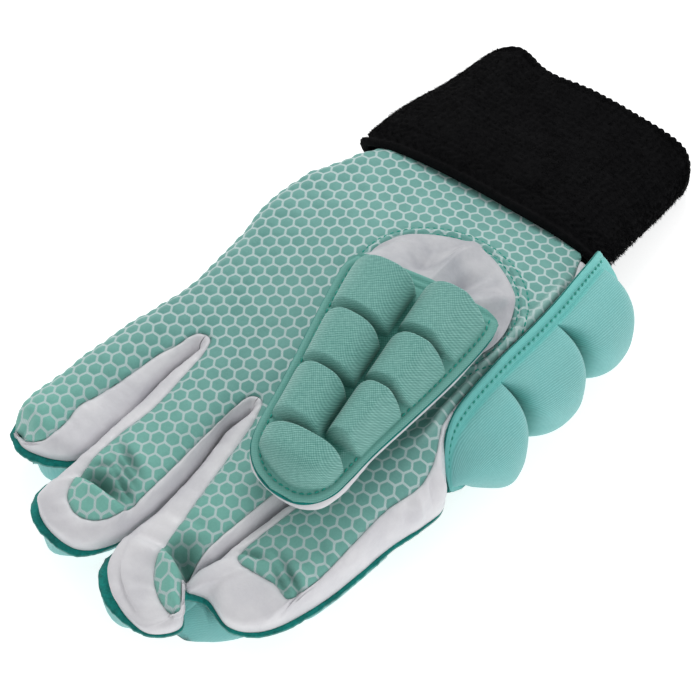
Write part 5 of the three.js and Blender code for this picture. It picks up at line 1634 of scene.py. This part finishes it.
def buildCuffFibres():
    random = np.random.default_rng(7)
    count = cuffShape["fibres"]
    along = random.uniform(0.06, 1.0, count)
    edge = random.random(count) < 0.1
    along[edge] = random.uniform(0.985, 1.01, edge.sum())
    turn = random.uniform(0, 2 * np.pi, count)
    base = cuffPoint(along, turn, 0.1)
    out = unit(cuffPoint(along, turn, 1.1) - base)
    way = unit(random.normal(size=(count, 3)))
    lean = unit(out * random.uniform(0.35, 0.9, count)[:, None] + way * 0.75)
    side = unit(np.cross(lean, way)) * cuffShape["fibreHalf"]
    length = cuffShape["fibreLength"] * random.uniform(0.5, 1.3, count)[:, None]
    curl = (random.normal(size=(count, 3)) * 0.35 - np.array([0, 0, 0.15])) * length
    tip = base + lean * length + curl
    middle = base + lean * length * 0.55 + curl * 0.2
    points = np.stack([base - side, base + side, middle + side * 0.8, middle - side * 0.8, tip], 1)
    points[..., 2] = np.maximum(points[..., 2], 0.05)
    faces = []
    for a in range(0, 5 * count, 5):
        faces += [(a, a + 1, a + 2, a + 3), (a + 3, a + 2, a + 4)]
    makePiece("cuffFibres", points.reshape(-1, 3), faces, fibreMaterial, smooth=False)


buildCuff()
buildCuffFibres()
print("cuff built")


# Studio
studio = {
    "azimuth": 41,
    "elevation": 58,
    "distance": 1.2,
    "target": (-planMiddle[0], -planMiddle[1], 40.0),
    "lens": 3600 / 700 * 36,    # three pixels to the millimetre from that distance, on a film 36 mm wide
    "world": 0.6,
    "key": 3.9,
    "fill": 1.7,
    "floorDark": (0.60, 0.60, 0.60, 1),
    "floorLight": (0.62, 0.62, 0.62, 1),
    "floorGlow": 0.72,
    "floorHalf": 3,
}


def addLight(name, place, size, power, color):
    data = bpy.data.lights.new(name, "AREA")
    data.shape = "DISK"
    data.size = size
    data.energy = power
    data.color = color
    lamp = bpy.data.objects.new(name, data)
    lamp.location = place
    lamp.rotation_euler = (Vector((0, 0, 0.02)) - Vector(place)).to_track_quat("-Z", "Y").to_euler()
    bpy.context.scene.collection.objects.link(lamp)


def addCamera():
    turn = Matrix.Rotation(math.radians(studio["azimuth"]), 3, "Z")
    raised = math.radians(studio["elevation"])
    back = turn @ Vector((0, -math.cos(raised), math.sin(raised)))
    right = turn @ Vector((1, 0, 0))
    data = bpy.data.cameras.new("camera")
    data.lens = studio["lens"]
    data.sensor_width = 36
    data.clip_start = 0.05
    camera = bpy.data.objects.new("camera", data)
    place = Vector(studio["target"]) * 0.001 + back * studio["distance"]
    facing = Matrix((right, back.cross(right), back)).transposed().to_4x4()
    camera.matrix_world = Matrix.Translation(place) @ facing
    bpy.context.scene.collection.objects.link(camera)
    bpy.context.scene.camera = camera


def addFloor():
    material, tree, shader = newMaterial("floor", 0.9, 0, 0.1)
    tone = groupNode(tree, toneDrift, Size=0.4)["Tone"]
    wire(tree, shader.inputs["Base Color"], mixColor(tree, tone, studio["floorDark"], studio["floorLight"]))
    shader.inputs["Emission Color"].default_value = (1, 1, 1, 1)
    shader.inputs["Emission Strength"].default_value = studio["floorGlow"]
    mesh = bpy.data.meshes.new("floor")
    half = studio["floorHalf"]
    corners = [(-half, -half, 0), (half, -half, 0), (half, half, 0), (-half, half, 0)]
    mesh.from_pydata(corners, [], [(0, 1, 2, 3)])
    mesh.materials.append(material)
    floor = bpy.data.objects.new("floor", mesh)
    bpy.context.scene.collection.objects.link(floor)


def addWorld():
    scene = bpy.context.scene
    scene.world = bpy.data.worlds.new("studio")
    scene.world.use_nodes = True
    background = scene.world.node_tree.nodes["Background"]
    background.inputs["Color"].default_value = (1, 1, 1, 1)
    background.inputs["Strength"].default_value = studio["world"]
    scene.view_settings.view_transform = "Standard"
    scene.view_settings.look = "None"


addCamera()
addWorld()
addLight("key", (-0.42, 0.56, 0.8), 0.45, studio["key"], (1, 0.99, 0.98))
addLight("fill", (0.95, 0.05, 0.7), 0.9, studio["fill"], (0.97, 0.98, 1))
addFloor()
print("studio built")
